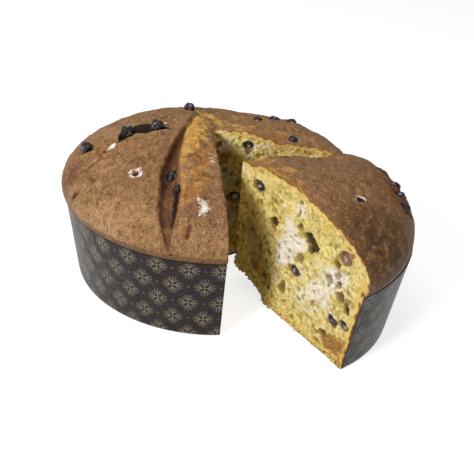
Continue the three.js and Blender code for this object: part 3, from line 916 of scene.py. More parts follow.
# Painted shade: darker crumb near the wedge's tip and on the loaf's face in the notch, where these faces
# lie in shade.
WEDGE_PAINTED_SHADE = [Stain(15, 48, 13, 1.1), Stain(27, 34, 10, 1), Stain(38, 20, 8, 0.8)]
LOAF_PAINTED_SHADE = [Stain(12, 76, 7, 0.8), Stain(18, 56, 12, 0.9), Stain(23, 30, 12, 0.9)]
LOAF_TOASTS = all_of(
    Stain,
    (13, 74, 6, 0.9), (24, 40, 6, 0.7), (52, 92, 10, 0.5), (72, 90, 9, 0.7), (94, 84, 9, 0.7),
    (110, 74, 9, 0.7),
)


def stains(along, z, places):
    total = 0 * along
    for place in places:
        away = np.hypot(along - place.along, z - place.height)
        total = total + place.amount * bell(away + 3 * noise(along, z, 5, 8, 95), place.spread)
    return np.clip(total, 0, 1.1)


def crumb_masks(name, cut_number, along, z):
    """How pale and how toasted a cut face is, and how much painted shade it gets; the two that don't show
    get less.
    """
    if name == "wedge" and cut_number == 0:
        places = WEDGE_HALOS, WEDGE_TOASTS_AND_SHADE, WEDGE_PAINTED_SHADE
    elif name == "loaf" and cut_number == 1:
        places = LOAF_HALOS_AND_PAINTED_LIGHT, LOAF_TOASTS, LOAF_PAINTED_SHADE
    else:
        places = WEDGE_HALOS[4:], WEDGE_TOASTS_AND_SHADE[:1], []
    halo, toast, painted_shade = [stains(along, z, kind) for kind in places]
    return halo if places[2] else 0.6 * halo, toast, painted_shade


# %% The loaf and the wedge
loaf_sheets = bread_piece(
    "loaf", loaf_crust, LOAF_SWELLS, LOAF_CUTS, SECOND_ANGLE, FIRST_ANGLE + 360,
    rows=146, levels=96, spacing=0.9, holes=[[], []], fruit=[[], LOAF_FRUIT], torn_tip=False,
)
wedge_sheets = bread_piece(
    "wedge", wedge_crust, WEDGE_SWELLS, WEDGE_CUTS, FIRST_ANGLE, SECOND_ANGLE,
    rows=185, levels=140, spacing=0.8, holes=[WEDGE_HOLES, []], fruit=[WEDGE_FRUIT, []], torn_tip=True,
)
loaf = piece_from_sheets(loaf_sheets, "loaf_bread")
wedge = piece_from_sheets(wedge_sheets, "wedge_bread", swing)

# %% [markdown]
# ## The scrap under the tip
#
# The wedge's tip tore off at the bottom when it was swung out. The scrap stayed with the loaf, so it
# is a low ragged mound of crumb in the corner of the notch.

# %% The scrap
SCRAP_RINGS = 24
SCRAP_RAYS = 60
SCRAP_TUCK = 3


def scrap_points():
    """A fan of rays from the notch's corner, up over the mound."""
    reach = np.linspace(1, 40, 400)
    rays = []
    for angle in np.linspace(FIRST_ANGLE - SCRAP_TUCK, SECOND_ANGLE + SCRAP_TUCK, SCRAP_RAYS + 1):
        edge = reach[tear_height(*on_rays(reach, angle).T, -SCRAP_SHRINK) > FLOOR].max()
        ray = on_rays(np.linspace(0, edge, SCRAP_RINGS + 1), angle)
        rise = np.maximum(tear_height(*ray.T, -SCRAP_SHRINK), FLOOR)
        rise[-1] = FLOOR
        crumbs = 0.7 * rough(*ray.T, 0, 4, 3, 131) * smooth(0, 2, rise - FLOOR)
        rays.append(np.column_stack([ray, rise + crumbs]))
    return np.array(rays)


def at_height(grid, height):
    """The same grid of points, laid flat."""
    return np.concatenate([grid[..., :2], np.full_like(grid[..., :1], height)], axis=-1)


scrap_top = scrap_points()
both = np.stack([scrap_top, at_height(scrap_top, FLOOR)])
sheets = Sheets()
for sheet, skin in ((both[0], FAR_FROM_CRUST), (both[1], NEAR_CRUST), (both[:, 0], 3), (both[:, -1], 3)):
    sheets.grid(sheet, CRUMB, skin=skin, toast=0.6)
scrap = piece_from_sheets(sheets, "loaf_scrap")

# %% [markdown]
# ## Crumbs along the foot
#
# The knife pulled crumbs out along the foot of the cut, and the torn tip is fringed with darker
# ones. Each crumb is a small noisy ball, and all of them are joined into one mesh.

# %% Crumbs
CRUMB_DETAIL = 3


def unit_ball(detail):
    """The points and faces of a ball of radius 1."""
    ball = bmesh.new()
    bmesh.ops.create_icosphere(ball, subdivisions=detail, radius=1)
    points = np.array([vertex.co for vertex in ball.verts])
    faces = np.array([[vertex.index for vertex in face.verts] for face in ball.faces])
    ball.free()
    return points, faces


def crumbs_along(cut, count, from_along, to_along, low_radius, high_radius, seed):
    """Balls beside the foot of a cut, spread unevenly."""
    unit, unit_faces = unit_ball(CRUMB_DETAIL)
    points, faces = [], []
    for number in range(count):
        draws = [hashed(number, draw, 0, seed) for draw in (1, 2, 3, 4)]
        along = blend(from_along, to_along, (number + draws[0]) / count)
        radius = blend(low_radius, high_radius, draws[1] ** 2)
        away = 0.6 * radius * blend(-0.6, 1, draws[2])
        plan = CUT_MEETING + along * cut.direction + away * cut.normal
        rise = radius + max(tear_height(*plan, 0), 0) + blend(-0.2, 1.6, draws[3])
        size = radius * (1 + 0.45 * rough(*(1.3 * unit.T), 1, 2, seed + number))
        points.append(np.array([*plan, rise]) + unit * size[:, None] * [1.2, 1, 0.8])
        faces.append(unit_faces + number * len(unit))
    return np.concatenate(points), np.concatenate(faces)


def crumb_fringe(name, toast, **spread):
    points, faces = crumbs_along(WEDGE_CUTS[0], **spread)
    piece = object_from_mesh(name, points, faces, swing)
    add_mask(piece, "skin", np.full(len(points), FAR_FROM_CRUST))
    add_mask(piece, "toast", np.full(len(points), toast))
    return piece


foot_crumbs = crumb_fringe(
    "foot_crumbs", toast=0.45, count=95,
    from_along=34, to_along=118, low_radius=0.6, high_radius=1.7, seed=161,
)
tip_crumbs = crumb_fringe(
    "tip_crumbs", toast=0.4, count=26,
    from_along=6, to_along=46, low_radius=0.9, high_radius=2.4, seed=171,
)

# %% [markdown]
# ## Berries and fruit
#
# Dried berries are dark, soft balls that shrank, so the skin has folds. Each starts as an icosphere.
# Two waves give it the lopsided form that its solid has, and finer noise folds the skin.

# %% Berries
BERRY_DETAIL = 5
FOLD_SIZE = 1.5
FOLD_DEPTH = 0.4


def berry_mesh(name, radii, phase, centre, turn, place):
    unit, faces = unit_ball(BERRY_DETAIL)
    x, y, z = unit.T
    wrinkle = 1 + 0.08 * np.sin(4 * x + phase) * np.cos(5 * y - phase + 2 * z)
    skin = unit * radii * wrinkle[:, None]
    folds = 1 - 2 * np.abs(noise(*(skin + phase).T, FOLD_SIZE, 141))
    fine = noise(*(skin - phase).T, FOLD_SIZE / 2.4, 142)
    skin = skin - unit * (FOLD_DEPTH * np.maximum(folds, 0) + 0.08 * fine + 0.1)[:, None]
    return object_from_mesh(name, turned(skin, turn) + centre, faces, place)


def berries_on_crust(label, berries, swells, place):
    for number, berry in enumerate(berries, 1):
        height = dome_height(berry.x, berry.y, swells) + berry.radii[2] * (1 - 2 * berry.sunk)
        centre = np.array([berry.x, berry.y, height])
        name = f"{label}_{number}"
        piece = berry_mesh(f"dried_{name}", berry.radii, berry.x + berry.y, centre, berry.turn, place)
        all_fruit.append((piece, name))


def fruit_in_cut(label, fruits, cut, place):
    """Fruit that the knife laid open; its face that looks out of the cut has a pale heart, partly cut flesh
    and partly a painted glint.
    """
    turn = math.degrees(math.atan2(cut.direction[1], cut.direction[0]))
    outwards = place(np.array([*cut.normal, 0])) - place(np.zeros(3))
    for number, fruit in enumerate(fruits, 1):
        plan = CUT_MEETING + fruit.along * cut.direction - (fruit.radius - 0.2) * cut.normal
        radii = fruit.radius * np.array([FRUIT_STRETCH, 1, 1.1])
        name = f"{label}_{number}"
        centre = np.array([*plan, fruit.height])
        piece = berry_mesh(f"dried_{name}", radii, fruit.along + fruit.height, centre, turn, place)
        reach = np.array([vertex.co for vertex in piece.data.vertices])
        reach = reach - reach.mean(axis=0)
        facing = reach @ outwards / np.linalg.norm(reach, axis=1)
        add_mask(piece, "pale_heart_and_glint", smooth(0.8, 0.98, facing))
        all_fruit.append((piece, name))


all_fruit = []
berries_on_crust("loaf_berry", LOAF_BERRIES, LOAF_SWELLS, stay)
berries_on_crust("wedge_berry", WEDGE_BERRIES, WEDGE_SWELLS, swing)
fruit_in_cut("loaf_fruit", LOAF_FRUIT, LOAF_CUTS[1], stay)
fruit_in_cut("wedge_fruit", WEDGE_FRUIT, WEDGE_CUTS[0], swing)
print("berries and fruit:", len(all_fruit))

# %% [markdown]
# ## The paper mould
#
# The mould is stiff paper: a flat base and a wall that leans out a little. One profile, base then
# wall up to the rim and back down the inside, is repeated for many rays round the place where the
# cuts meet, so the paper ends exactly at the cuts. Two attributes carry millimetres round the wall
# and up it, and the printed pattern is drawn in those.

# %% Paper
PAPER_THICKNESS = 0.7
WALL_ROWS = 30
FOOT_ROUND = 1.2
PAPER_STEP = 1.0
BASE_SHARES = (0, 0.35, 0.7)
PAPER_TEAR = 1.5
OFF_WALL = -20.0
SHARP_ANGLE = 50


def paper_wave(azimuth, z):
    """Paper is never perfectly round: soft dents, most at the free rim."""
    angle = np.radians(azimuth)
    dents = noise(9 * np.cos(angle), 9 * np.sin(angle), z / 40, 1, 151) + 0.5 * np.sin(5 * angle + 1)
    return 0.16 * dents * (0.3 + 0.7 * z / MOULD_HEIGHT)


def paper_piece(name, start, end, inner_reach, place):
    """Outside and inside, each from the base's inner end out to the wall and up, closed at the edges."""
    angles = np.linspace(start, end, max(round((end - start) / PAPER_STEP), 1) + 1)
    corner = FOOT_ROUND * (1 - np.cos(np.linspace(0, math.pi / 2, 5)))[:-1]
    wall = np.linspace(0, MOULD_HEIGHT, WALL_ROWS + 1)[1:]
    heights = np.unique(np.round(np.concatenate([corner, wall]), 4))

    def ring(z, inwards):
        tuck = FOOT_ROUND - math.sqrt(max(FOOT_ROUND**2 - max(FOOT_ROUND - z, 0) ** 2, 0))

        def radius_at(azimuth):
            return paper_radius(azimuth, z) + paper_wave(azimuth, z) - inwards - tuck

        return ray_length(angles, radius_at)

    def ring_points(reach, z):
        return np.column_stack([on_rays(reach, angles), np.full(len(angles), z)])

    base = [blend(inner_reach(angles), ring(0, 0), share) for share in BASE_SHARES]
    outside = [ring_points(reach, 0) for reach in base] + [ring_points(ring(z, 0), z) for z in heights]
    inside = [ring_points(reach, PAPER_THICKNESS) for reach in base]
    for z in np.maximum(heights, PAPER_THICKNESS):
        inside.append(ring_points(ring(z, PAPER_THICKNESS), z))
    both = np.stack([outside, inside])

    azimuths = np.unwrap(np.arctan2(both[0, ..., 1], both[0, ..., 0]), axis=1)
    azimuths = azimuths + 2 * math.pi * (azimuths[:, -1:] < 0)
    around = azimuths * MOULD_TOP_RADIUS
    up = np.concatenate([np.full(len(base), OFF_WALL), heights])
    sheets = Sheets()
    sheets.grid(both[0], around=around.ravel(), up=np.repeat(up, len(angles)))
    for sheet in (both[1], both[:, -1], both[:, 0], both[:, :, 0], both[:, :, -1]):
        sheets.grid(sheet, up=OFF_WALL)
    return piece_from_sheets(sheets, name, place, SHARP_ANGLE)


def torn_outline(angles):
    """For each ray, where the wedge's base paper starts outside the torn hollow."""
    reach = np.linspace(0, 60, 600)
    hollows = [tear_height(*on_rays(reach, angle).T, PAPER_TEAR) > 0 for angle in angles]
    return np.array([reach[hollow].max() for hollow in hollows])


loaf_paper = paper_piece("loaf_mould_paper", SECOND_ANGLE, FIRST_ANGLE + 360, np.zeros_like, stay)
wedge_paper = paper_piece("wedge_mould_paper", FIRST_ANGLE, SECOND_ANGLE, torn_outline, swing)

# %% The bit of base paper that stayed under the scrap
both = np.stack([at_height(scrap_top, height) for height in (PAPER_THICKNESS, 0)])
sheets = Sheets()
for sheet in (both[0], both[1], both[:, :, -1], both[:, 0], both[:, -1]):
    sheets.grid(sheet, up=OFF_WALL)
scrap_base = piece_from_sheets(sheets, "scrap_base_paper", stay, SHARP_ANGLE)

# %% [markdown]
# ## Writing materials as short lines
#
# A node tree reads from left to right. This small class adds one node a call and gives back its
# output, so a material reads like a sum.

# %% Node helpers
def srgb(red, green, blue):
    """A colour read off as 0 to 255 in a picture, as the linear colour that Blender wants."""
    channels = [value / 255 for value in (red, green, blue)]
    linear = [c / 12.92 if c <= 0.04045 else ((c + 0.055) / 1.055) ** 2.4 for c in channels]
    return (*linear, 1)


class Tree:
    """A node tree; each call adds a node and gives back its output."""

    def __init__(self, tree):
        self.tree = tree

    def put(self, kind, inputs=None, **settings):
        node = self.tree.nodes.new(kind)
        for name, value in settings.items():
            setattr(node, name, value)
        for socket, value in (inputs or {}).items():
            if isinstance(value, bpy.types.NodeSocket):
                self.tree.links.new(value, node.inputs[socket])
            else:
                node.inputs[socket].default_value = value
        return node

    def math(self, operation, a, b=0.0, c=0.0, clamp=False):
        inputs = {0: a, 1: b, 2: c}
        return self.put("ShaderNodeMath", inputs, operation=operation, use_clamp=clamp).outputs[0]

    def times(self, a, b):
        return self.math("MULTIPLY", a, b)

    def minus(self, a, b):
        return self.math("SUBTRACT", a, b)

    def sum(self, a, share, b):
        """a times share, plus b"""
        return self.math("MULTIPLY_ADD", a, share, b)

    def length(self, across, up):
        return self.math("SQRT", self.sum(across, across, self.times(up, up)))

    def layers(self, color, rows):
        """Lays colours over a first one; each row has a mask, its weight and a colour."""
        settings = {"data_type": "RGBA", "clamp_factor": True}
        for mask, weight, layer in rows:
            share = mask if weight == 1 else self.times(mask, weight)
            color = self.put("ShaderNodeMix", {0: share, 6: color, 7: layer}, **settings).outputs[2]
        return color

    def noise(self, where, scale, detail=2.0, roughness=0.5):
        inputs = {"Vector": where, "Scale": scale, "Detail": detail, "Roughness": roughness}
        return self.put("ShaderNodeTexNoise", inputs).outputs[0]

    def range(self, value, low, high, to_low=0.0, to_high=1.0):
        inputs = {0: value, 1: low, 2: high, 3: to_low, 4: to_high}
        return self.put("ShaderNodeMapRange", inputs).outputs[0]

    def mask(self, name):
        return self.put("ShaderNodeAttribute", attribute_name=name).outputs["Fac"]

    def place(self):
        """The point on the piece, in millimetres."""
        spot = self.put("ShaderNodeTexCoord").outputs["Object"]
        return self.put("ShaderNodeVectorMath", {0: spot, "Scale": 1 / MM}, operation="SCALE").outputs[0]

    def stretched(self, where, turn, factors):
        """The same place with its axes turned and stretched, so that a pattern gets a grain."""
        inputs = {"Vector": where, "Rotation": (0, 0, math.radians(turn)), "Scale": factors}
        return self.put("ShaderNodeMapping", inputs).outputs[0]

    def use(self, group, *values):
        """A shared effect, with its inputs in order."""
        return self.put("ShaderNodeGroup", dict(enumerate(values)), node_tree=group).outputs


def effect(name, inputs, outputs):
    """An empty node group with its sockets, and its input node's outputs."""
    group = bpy.data.node_groups.new(name, "ShaderNodeTree")
    for way, sockets in (("INPUT", inputs), ("OUTPUT", outputs)):
        for socket in sockets:
            kind = "NodeSocketVector" if socket == "Place" else "NodeSocketFloat"
            group.interface.new_socket(socket, in_out=way, socket_type=kind)
    tree = Tree(group)
    return tree, group, tree.put("NodeGroupInput").outputs


def start_material(name):
    material = bpy.data.materials.new(name)
    material.use_nodes = True
    material.node_tree.nodes.clear()
    return material, Tree(material.node_tree)


def end_material(tree, color, roughness, height, specular, strength=1.0, **plain):
    """The shader at the end of a material; plain values go on its own sockets."""
    bump = tree.put("ShaderNodeBump", {"Height": height, "Strength": strength, "Distance": MM})
    inputs = {"Base Color": color, "Roughness": roughness, "Specular IOR Level": specular}
    shader = tree.put("ShaderNodeBsdfPrincipled", {**inputs, "Normal": bump.outputs[0], **plain})
    tree.put("ShaderNodeOutputMaterial", {"Surface": shader.outputs[0]})


# %% [markdown]
# ## Effects that several finishes share
#
# Speckle is the fine light and dark grain of anything baked. Blotches are soft patches where the
# dough browned more or less. Wrinkles are thin broken lines where a skin shrank. All give values
# only, so each material picks its own colours.

# %% Shared effects
tree, SPECKLE, given = effect("Speckle", ["Place", "Size"], ["Light", "Dark", "Height"])
scale = tree.math("DIVIDE", 1.0, given["Size"])
fine = tree.noise(given["Place"], scale, 5.0, 0.75)
cells = tree.put("ShaderNodeTexVoronoi", {"Vector": given["Place"], "Scale": scale}).outputs["Distance"]
light, dark = tree.range(fine, 0.5, 0.66), tree.range(fine, 0.5, 0.34)
height = tree.minus(fine, tree.times(cells, 0.4))
tree.put("NodeGroupOutput", {"Light": light, "Dark": dark, "Height": height})

tree, BLOTCHES, given = effect("Blotches", ["Place", "Size", "Edge"], ["Amount"])
wide = tree.noise(given["Place"], tree.math("DIVIDE", 1.0, given["Size"]), 4.0, 0.62)
amount = tree.range(wide, tree.minus(0.5, given["Edge"]), tree.math("ADD", 0.5, given["Edge"]))
tree.put("NodeGroupOutput", {"Amount": amount})

tree, WRINKLES, given = effect("Wrinkles", ["Place", "Size", "Width"], ["Line"])
scale = tree.math("DIVIDE", 1.0, given["Size"])
off_line = tree.math("ABSOLUTE", tree.minus(tree.noise(given["Place"], scale, 3.0, 0.55), 0.5))
line = tree.range(off_line, given["Width"], 0.0)
broken = tree.range(tree.noise(given["Place"], tree.times(scale, 1.7), 1.0), 0.42, 0.62)
tree.put("NodeGroupOutput", {"Line": tree.times(line, broken)})

# %% [markdown]
# ## Crust
#
# The crust is tan where it baked least, and brown on the shoulders and in the crack. Part of this is
# painted light: the front that faces the lamp is painted paler and the sides turned away from it are
# painted darker. The crevice, the slit, the pits, the creases and the crack's left lip are painted dark as
# shade. Fine speckle, blotches and thin wrinkles break it up. Torn places show golden crumb with orange
# edges.

# %% Crust
CRUST_PALE = srgb(202, 163, 120)
CRUST_TAN = srgb(152, 114, 70)
CRUST_PINK = srgb(147, 100, 64)
CRUST_BROWN = srgb(97, 60, 26)
CRUST_DEEP = srgb(56, 34, 11)
CRUST_DARK = srgb(34, 18, 12)
CRACK_FLOOR = srgb(92, 50, 26)
TORN_YELLOW = srgb(218, 166, 80)
TORN_GOLD = srgb(166, 108, 48)
TORN_ORANGE = srgb(152, 92, 42)
TORN_LIGHT = srgb(232, 186, 104)
FLAKE_WHITE = srgb(250, 238, 226)
CRUST_RIM = srgb(82, 48, 26)


def crust_material():
    material, tree = start_material("baked crust")
    place = tree.place()
    baked, yellow, pale = [tree.mask(name) for name in ("baked", "yellow", "pale")]
    speckle = tree.use(SPECKLE, place, 1.3)
    coarse = tree.use(SPECKLE, tree.stretched(place, 35, (1.0, 0.6, 0.7)), 4.0)
    wide = tree.use(BLOTCHES, place, 22.0, 0.1)["Amount"]
    small = tree.use(BLOTCHES, place, 6.5, 0.09)["Amount"]
    patches = tree.use(BLOTCHES, tree.stretched(place, 20, (1.0, 0.6, 1.0)), 13.0, 0.07)["Amount"]
    wrinkle = tree.use(WRINKLES, tree.stretched(place, 50, (1.0, 0.4, 0.5)), 6.0, 0.03)["Line"]
    streaks = tree.use(WRINKLES, place, 2.6, 0.05)["Line"]
    uneven = tree.minus(small, 0.5)
    grain = tree.times(tree.sum(wide, 0.3, 0.42), tree.range(baked, 0.3, 1.2, 1.0, 0.5))
    rim = tree.sum(small, 0.5, tree.times(tree.mask("rim"), 0.8))
    # The browning mask also carries painted light: low values paint the lamp-facing front paler, high
    # values paint the sides turned away from the lamp darker.
    color = tree.layers(CRUST_TAN, [
        (tree.sum(baked, 0.8, tree.times(wide, 0.7)), 1, CRUST_PINK),
        (patches, 0.3, CRUST_BROWN),
        (small, 0.5, CRUST_PALE),
        (tree.range(baked, 0.0, -0.6), 0.6, CRUST_PALE),
        (tree.sum(uneven, 0.5, baked), 0.9, CRUST_BROWN),
        (tree.range(baked, 0.65, 1.35), 0.95, CRUST_DEEP),
        (coarse["Dark"], 0.5, CRUST_BROWN),
        (coarse["Light"], 0.35, CRUST_PALE),
        (speckle["Light"], grain, CRUST_PALE),
        (speckle["Dark"], 0.8, CRUST_BROWN),
        (wrinkle, 0.65, CRUST_BROWN),
        (tree.range(rim, 0.5, 1.2), 0.75, CRUST_RIM),
    ])
    gold = tree.layers(TORN_ORANGE, [
        (small, 1, TORN_GOLD),
        (yellow, tree.math("ADD", 0.8, small), TORN_YELLOW),
        (coarse["Light"], 0.45, TORN_LIGHT),
        (speckle["Light"], 0.35, TORN_LIGHT),
        (coarse["Dark"], tree.range(yellow, 0.0, 1.0, 0.6, 0.25), TORN_ORANGE),
        (speckle["Dark"], 0.35, CRUST_BROWN),
    ])
    # The dark mask: the crack floor's brown and the berry cluster, with painted shade in the crevice, slit,
    # pits and creases and on the crack's left lip.
    burn = tree.sum(uneven, 0.3, tree.mask("burn"))
    streaky = tree.times(streaks, tree.range(pale, 0.1, 0.4))
    color = tree.layers(color, [
        (tree.range(tree.sum(uneven, 0.7, tree.mask("torn")), 0.1, 0.95), 1, gold),
        (tree.range(burn, 0.15, 0.6), 0.85, CRACK_FLOOR),
        (tree.range(burn, 0.7, 1.2), 1, CRUST_DARK),
        (tree.range(tree.sum(streaky, 0.9, pale), 0.45, 1.05), 1, FLAKE_WHITE),
    ])
    height = tree.sum(speckle["Height"], 0.6, tree.times(coarse["Height"], 0.8))
    height = tree.sum(wrinkle, -0.45, height)
    end_material(tree, color, tree.range(speckle["Light"], 0.0, 1.0, 0.5, 0.7), height, 0.25)
    return material


# %% [markdown]
# ## Crumb
#
# Rich yellow crumb: pale where the light catches its grain, golden and then brown next to the crust. The
# pores, the dishes round the fruit and the parts of the faces that lie in shade are painted olive and then
# dark, as painted shade. Juice and sugar from the fruit leave pale patches with a lilac cast. Soft crumb
# lets light through, so the shader has a little subsurface scattering.

# %% Crumb
CRUMB_YELLOW = srgb(240, 212, 116)
CRUMB_PALE = srgb(254, 238, 172)
CRUMB_OLIVE = srgb(138, 114, 42)
CRUMB_PORE_SHADE = srgb(62, 42, 22)
CRUMB_GOLD = srgb(244, 198, 108)
CRUMB_EDGE = srgb(118, 72, 34)
HALO_PALE = srgb(255, 249, 236)
HALO_LILAC = srgb(176, 150, 150)
TOAST = srgb(150, 96, 44)


def crumb_material():
    material, tree = start_material("yellow crumb")
    place = tree.place()
    speckle = tree.use(SPECKLE, place, 1.5)
    coarse = tree.use(SPECKLE, place, 3.6)
    flat = tree.use(SPECKLE, tree.stretched(place, 0, (0.3, 0.3, 1.0)), 2.2)
    wide = tree.use(BLOTCHES, place, 14.0, 0.1)["Amount"]
    small = tree.use(BLOTCHES, place, 5.0, 0.09)["Amount"]
    uneven = tree.minus(small, 0.5)
    hole = tree.mask("hole")
    halo, toast = [tree.sum(uneven, 0.5, tree.mask(name)) for name in ("halo", "toast")]
    skin = tree.sum(uneven, 1.6, tree.mask("skin"))
    browned = tree.layers(TOAST, [
        (speckle["Light"], 0.5, CRUMB_GOLD),
        (flat["Light"], 0.8, CRUMB_GOLD),
        (flat["Dark"], 0.8, CRUMB_EDGE),
    ])
    color = tree.layers(CRUMB_YELLOW, [
        (wide, 0.45, CRUMB_PALE),
        (tree.range(small, 0.35, 0.0), 0.4, CRUMB_OLIVE),
        (coarse["Dark"], 0.6, CRUMB_OLIVE),
        (coarse["Light"], 0.8, CRUMB_PALE),
        (speckle["Light"], 0.35, CRUMB_PALE),
        (speckle["Dark"], 0.4, CRUMB_OLIVE),
        (tree.range(halo, 0.3, 0.85), tree.sum(speckle["Light"], 0.25, 0.8), HALO_PALE),
        (tree.times(tree.range(halo, 0.3, 0.9), coarse["Dark"]), 0.5, HALO_LILAC),
        # Painted shade: the deeper the pore or dish, and where the face lies in shade, the darker the
        # crumb.
        (tree.range(hole, 0.25, 1.1), 0.7, CRUMB_OLIVE),
        (tree.range(hole, 1.1, 3.0), 0.95, CRUMB_PORE_SHADE),
        (tree.range(toast, 0.2, 0.75), 0.95, browned),
        (tree.range(skin, 4.5, 1.4), 0.75, CRUMB_GOLD),
        (tree.range(skin, 1.3, 0.4), 0.9, CRUMB_EDGE),
    ])
    rough = tree.range(speckle["Light"], 0.0, 1.0, 0.6, 0.8)
    height = tree.sum(speckle["Height"], 0.8, tree.times(coarse["Height"], 0.9))
    scattering = {"Subsurface Weight": 0.08, "Subsurface Scale": 0.001}
    end_material(tree, color, rough, height, 0.2, **scattering)
    return material


# %% [markdown]
# ## Berries, and the printed paper
#
# The berries are nearly black with a plum cast, glossy on the folds. The paper is dark brown and
# satin, printed with rosettes of fine taupe strokes in staggered rows, an old ornament. One rosette
# satin, printed with rosettes of fine taupe strokes in staggered rows, an old ornament. One rosette
# has four fans of five strokes, and their middle strokes make a cross. So its drawing is folded
# onto one eighth, and measures the distance to the strokes there. A small dot sits midway between
# neighbours.

# %% Berries
HEART_AND_GLINT = srgb(196, 176, 180)


def fruit_material(name, deep, light, shine):
    material, tree = start_material(name)
    place = tree.place()
    speckle = tree.use(SPECKLE, place, 1.1)
    small = tree.use(BLOTCHES, place, 2.6, 0.12)["Amount"]
    # The pale heart is partly the cut flesh and partly a painted glint.
    pale_heart_and_glint = tree.range(tree.sum(tree.minus(small, 0.5), 3.2, tree.mask("pale_heart_and_glint")), 0.9, 1.9)
    rows = [(small, 1, light), (speckle["Light"], 0.25, shine), (pale_heart_and_glint, 0.7, HEART_AND_GLINT)]
    rough = tree.range(small, 0.0, 1.0, 0.3, 0.5)
    end_material(tree, tree.layers(deep, rows), rough, speckle["Height"], 0.45, strength=0.5)
    return material


# %% Rosettes
ROSETTE_PITCH_AROUND = 21.0
ROSETTE_PITCH_UP = 27.0
ROSETTE_START = (5.5, 1.5)
STROKE_HALF_WIDTH = 0.23
STROKES = [((0.3, 0), (6.9, 0)), ((1.8, 0.2), (6.3, 2.15)), ((2.6, 1.2), (4.4, 3.1))]
DOT_RADIUS = 0.5
EDGE_BLUR = 0.08


def stroke_effect():
    """The distance from a point to one straight stroke."""
    sockets = ["Across", "Up", "From across", "From up", "To across", "To up"]
    tree, group, given = effect("Stroke", sockets, ["Distance"])
    across, up, from_across, from_up, to_across, to_up = [given[name] for name in sockets]
    run, rise = tree.minus(to_across, from_across), tree.minus(to_up, from_up)
    across, up = tree.minus(across, from_across), tree.minus(up, from_up)
    dot = tree.sum(across, run, tree.times(up, rise))
    square = tree.sum(run, run, tree.times(rise, rise))
    share = tree.math("DIVIDE", dot, square, clamp=True)
    off_across = tree.minus(across, tree.times(share, run))
    off_up = tree.minus(up, tree.times(share, rise))
    tree.put("NodeGroupOutput", {"Distance": tree.length(off_across, off_up)})
    return group


def rosette_effect(stroke):
    """1 on the strokes of the nearest rosette of a lattice and on the dots, 0 between them."""
    tree, group, given = effect("Rosettes", ["Around", "Up", "Shift"], ["Ink"])

    def from_centre(value, start, pitch):
        moved = tree.sum(given["Shift"], pitch, value)
        return tree.math("PINGPONG", tree.math("ADD", moved, 50 * pitch - start), pitch / 2)

    across = from_centre(given["Around"], ROSETTE_START[0], ROSETTE_PITCH_AROUND)
    up = from_centre(given["Up"], ROSETTE_START[1], ROSETTE_PITCH_UP)
    longer, shorter = tree.math("MAXIMUM", across, up), tree.math("MINIMUM", across, up)
    marks = []
    for stroke_from, stroke_to in STROKES:
        distance = tree.use(stroke, longer, shorter, *stroke_from, *stroke_to)["Distance"]
        marks.append(tree.range(distance, STROKE_HALF_WIDTH + EDGE_BLUR, STROKE_HALF_WIDTH - EDGE_BLUR))
    for dot_across, dot_up in ((ROSETTE_PITCH_AROUND / 2, 0), (0, ROSETTE_PITCH_UP / 2)):
        distance = tree.length(tree.minus(across, dot_across), tree.minus(up, dot_up))
        marks.append(tree.range(distance, DOT_RADIUS + 0.1, DOT_RADIUS - 0.1))
    ink = marks[0]
    for mark in marks[1:]:
        ink = tree.math("MAXIMUM", ink, mark)
    tree.put("NodeGroupOutput", {"Ink": ink})
    return group


# %% Paper
PAPER_DARK = srgb(20, 10, 10)
PAPER_LIGHT = srgb(29, 15, 15)
PAPER_GRAIN = srgb(54, 37, 34)
INK = srgb(134, 125, 104)


def paper_material():
    material, tree = start_material("printed mould paper")
    place = tree.place()
    speckle = tree.use(SPECKLE, place, 1.3)
    wide = tree.use(BLOTCHES, place, 18.0, 0.15)["Amount"]
    rosettes = rosette_effect(stroke_effect())
    around, up = tree.mask("around"), tree.mask("up")
    first, second = [tree.use(rosettes, around, up, shift)["Ink"] for shift in (0.0, 0.5)]
    ink = tree.times(tree.math("MAXIMUM", first, second), tree.range(up, 0.0, 0.6))
    ink = tree.times(ink, tree.range(speckle["Dark"], 0.0, 1.0, 1.0, 0.7))
    rows = [(wide, 1, PAPER_LIGHT), (speckle["Light"], 0.3, PAPER_GRAIN), (ink, 0.95, INK)]
    height = tree.sum(speckle["Height"], 0.12, tree.times(wide, 0.6))
    rough = tree.range(ink, 0.0, 1.0, 0.38, 0.5)
    end_material(tree, tree.layers(PAPER_DARK, rows), rough, height, 0.25)
    return material


# %% Dressing the pieces
crust = crust_material()
crumb = crumb_material()
berry_skin = fruit_material("dried berry skin", srgb(12, 8, 10), srgb(34, 20, 22), srgb(84, 70, 76))
peel = fruit_material("candied peel", srgb(88, 54, 38), srgb(158, 116, 88), srgb(196, 160, 130))
paper = paper_material()
for piece in (loaf, wedge, scrap):
    piece.data.materials.append(crust)
    piece.data.materials.append(crumb)
for piece in (foot_crumbs, tip_crumbs):
    piece.data.materials.append(crumb)
for piece in (loaf_paper, wedge_paper, scrap_base):
    piece.data.materials.append(paper)
for piece, node in all_fruit:
    piece.data.materials.append(peel if node == PEEL_NODE else berry_skin)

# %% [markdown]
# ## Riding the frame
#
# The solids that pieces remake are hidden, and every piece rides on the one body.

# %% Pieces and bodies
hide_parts("loaf")
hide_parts("wedge")
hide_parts("loaf_paper")
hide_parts("wedge_paper")
for piece, node in all_fruit:
    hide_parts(node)
    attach(piece, "root")
for piece in (loaf, wedge, scrap, foot_crumbs, tip_crumbs):
    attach(piece, "root")
for piece in (loaf_paper, wedge_paper, scrap_base):
    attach(piece, "root")

# %% [markdown]
# ## Camera, floor and light
#
# The camera looks down on the loaf from the front. One soft lamp stands low on the left in front,
# where the loaf's shadow on the wedge says that the light came from, and a white room fills in.

# %% Camera
CAMERA_PLACE = np.array([21.5, -475.1, 310.1])
CAMERA_PITCH = math.radians(31.52)
CAMERA_ROLL = math.radians(4.9)
CAMERA_VIEW = math.radians(36)

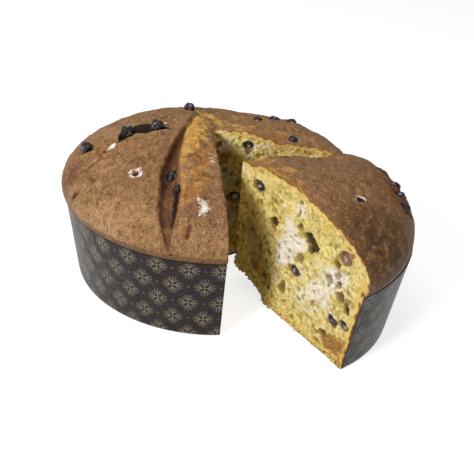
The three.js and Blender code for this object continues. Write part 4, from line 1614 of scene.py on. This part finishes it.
forward = np.array([0, math.cos(CAMERA_PITCH), -math.sin(CAMERA_PITCH)])
level_right = np.array([1.0, 0, 0])
level_up = np.cross(level_right, forward)
right = math.cos(CAMERA_ROLL) * level_right + math.sin(CAMERA_ROLL) * level_up
up = -math.sin(CAMERA_ROLL) * level_right + math.cos(CAMERA_ROLL) * level_up
lens = bpy.data.cameras.new("camera")
lens.angle = CAMERA_VIEW
lens.clip_start = 0.01
camera = add_object("camera", lens)
stand = np.eye(4)
stand[:3, :3] = np.column_stack([right, up, -forward])
stand[:3, 3] = (CAMERA_PLACE + AXIS) * MM
camera.matrix_world = Matrix(stand.tolist())
bpy.context.scene.camera = camera


# %% Floor and light
FLOOR_GLOW = 0.76
FLOOR_HALF = 6


def flat_floor():
    mesh = bpy.data.meshes.new("floor")
    corners = [(-1, -1), (1, -1), (1, 1), (-1, 1)]
    mesh.from_pydata([(FLOOR_HALF * x, FLOOR_HALF * y, 0) for x, y in corners], [], [(0, 1, 2, 3)])
    floor = add_object("floor", mesh)
    material, tree = start_material("white floor")
    matt = tree.put("ShaderNodeBsdfDiffuse", {"Color": (0.45, 0.45, 0.45, 1)})
    rays = tree.put("ShaderNodeLightPath").outputs
    seen = tree.math("MAXIMUM", rays["Is Camera Ray"], rays["Is Glossy Ray"])
    glow = tree.put("ShaderNodeEmission", {"Strength": tree.math("MULTIPLY", seen, FLOOR_GLOW)})
    both = tree.put("ShaderNodeAddShader", {0: matt.outputs[0], 1: glow.outputs[0]})
    tree.put("ShaderNodeOutputMaterial", {"Surface": both.outputs[0]})
    mesh.materials.append(material)


def lamp(name, azimuth, elevation, distance, size, power):
    light = bpy.data.lights.new(name, "AREA")
    light.shape = "DISK"
    light.size = size
    light.energy = power
    source = add_object(name, light)
    rise = math.radians(elevation)
    spot = distance * np.array([*(math.cos(rise) * heading(azimuth)), math.sin(rise)])
    source.location = spot
    source.rotation_mode = "QUATERNION"
    source.rotation_quaternion = Vector(spot).to_track_quat("Z", "Y")


flat_floor()
lamp("key", azimuth=234, elevation=33, distance=1.3, size=0.32, power=13.5)
lamp("top", azimuth=120, elevation=75, distance=1.3, size=0.9, power=6)
lamp("side", azimuth=318, elevation=10, distance=1.5, size=0.7, power=5)
world = bpy.data.worlds.new("white room")
bpy.context.scene.world = world
world.use_nodes = True
background = world.node_tree.nodes["Background"].inputs
background["Color"].default_value = (1, 1, 1, 1)
background["Strength"].default_value = 0.16
bpy.context.scene.view_settings.view_transform = "Standard"
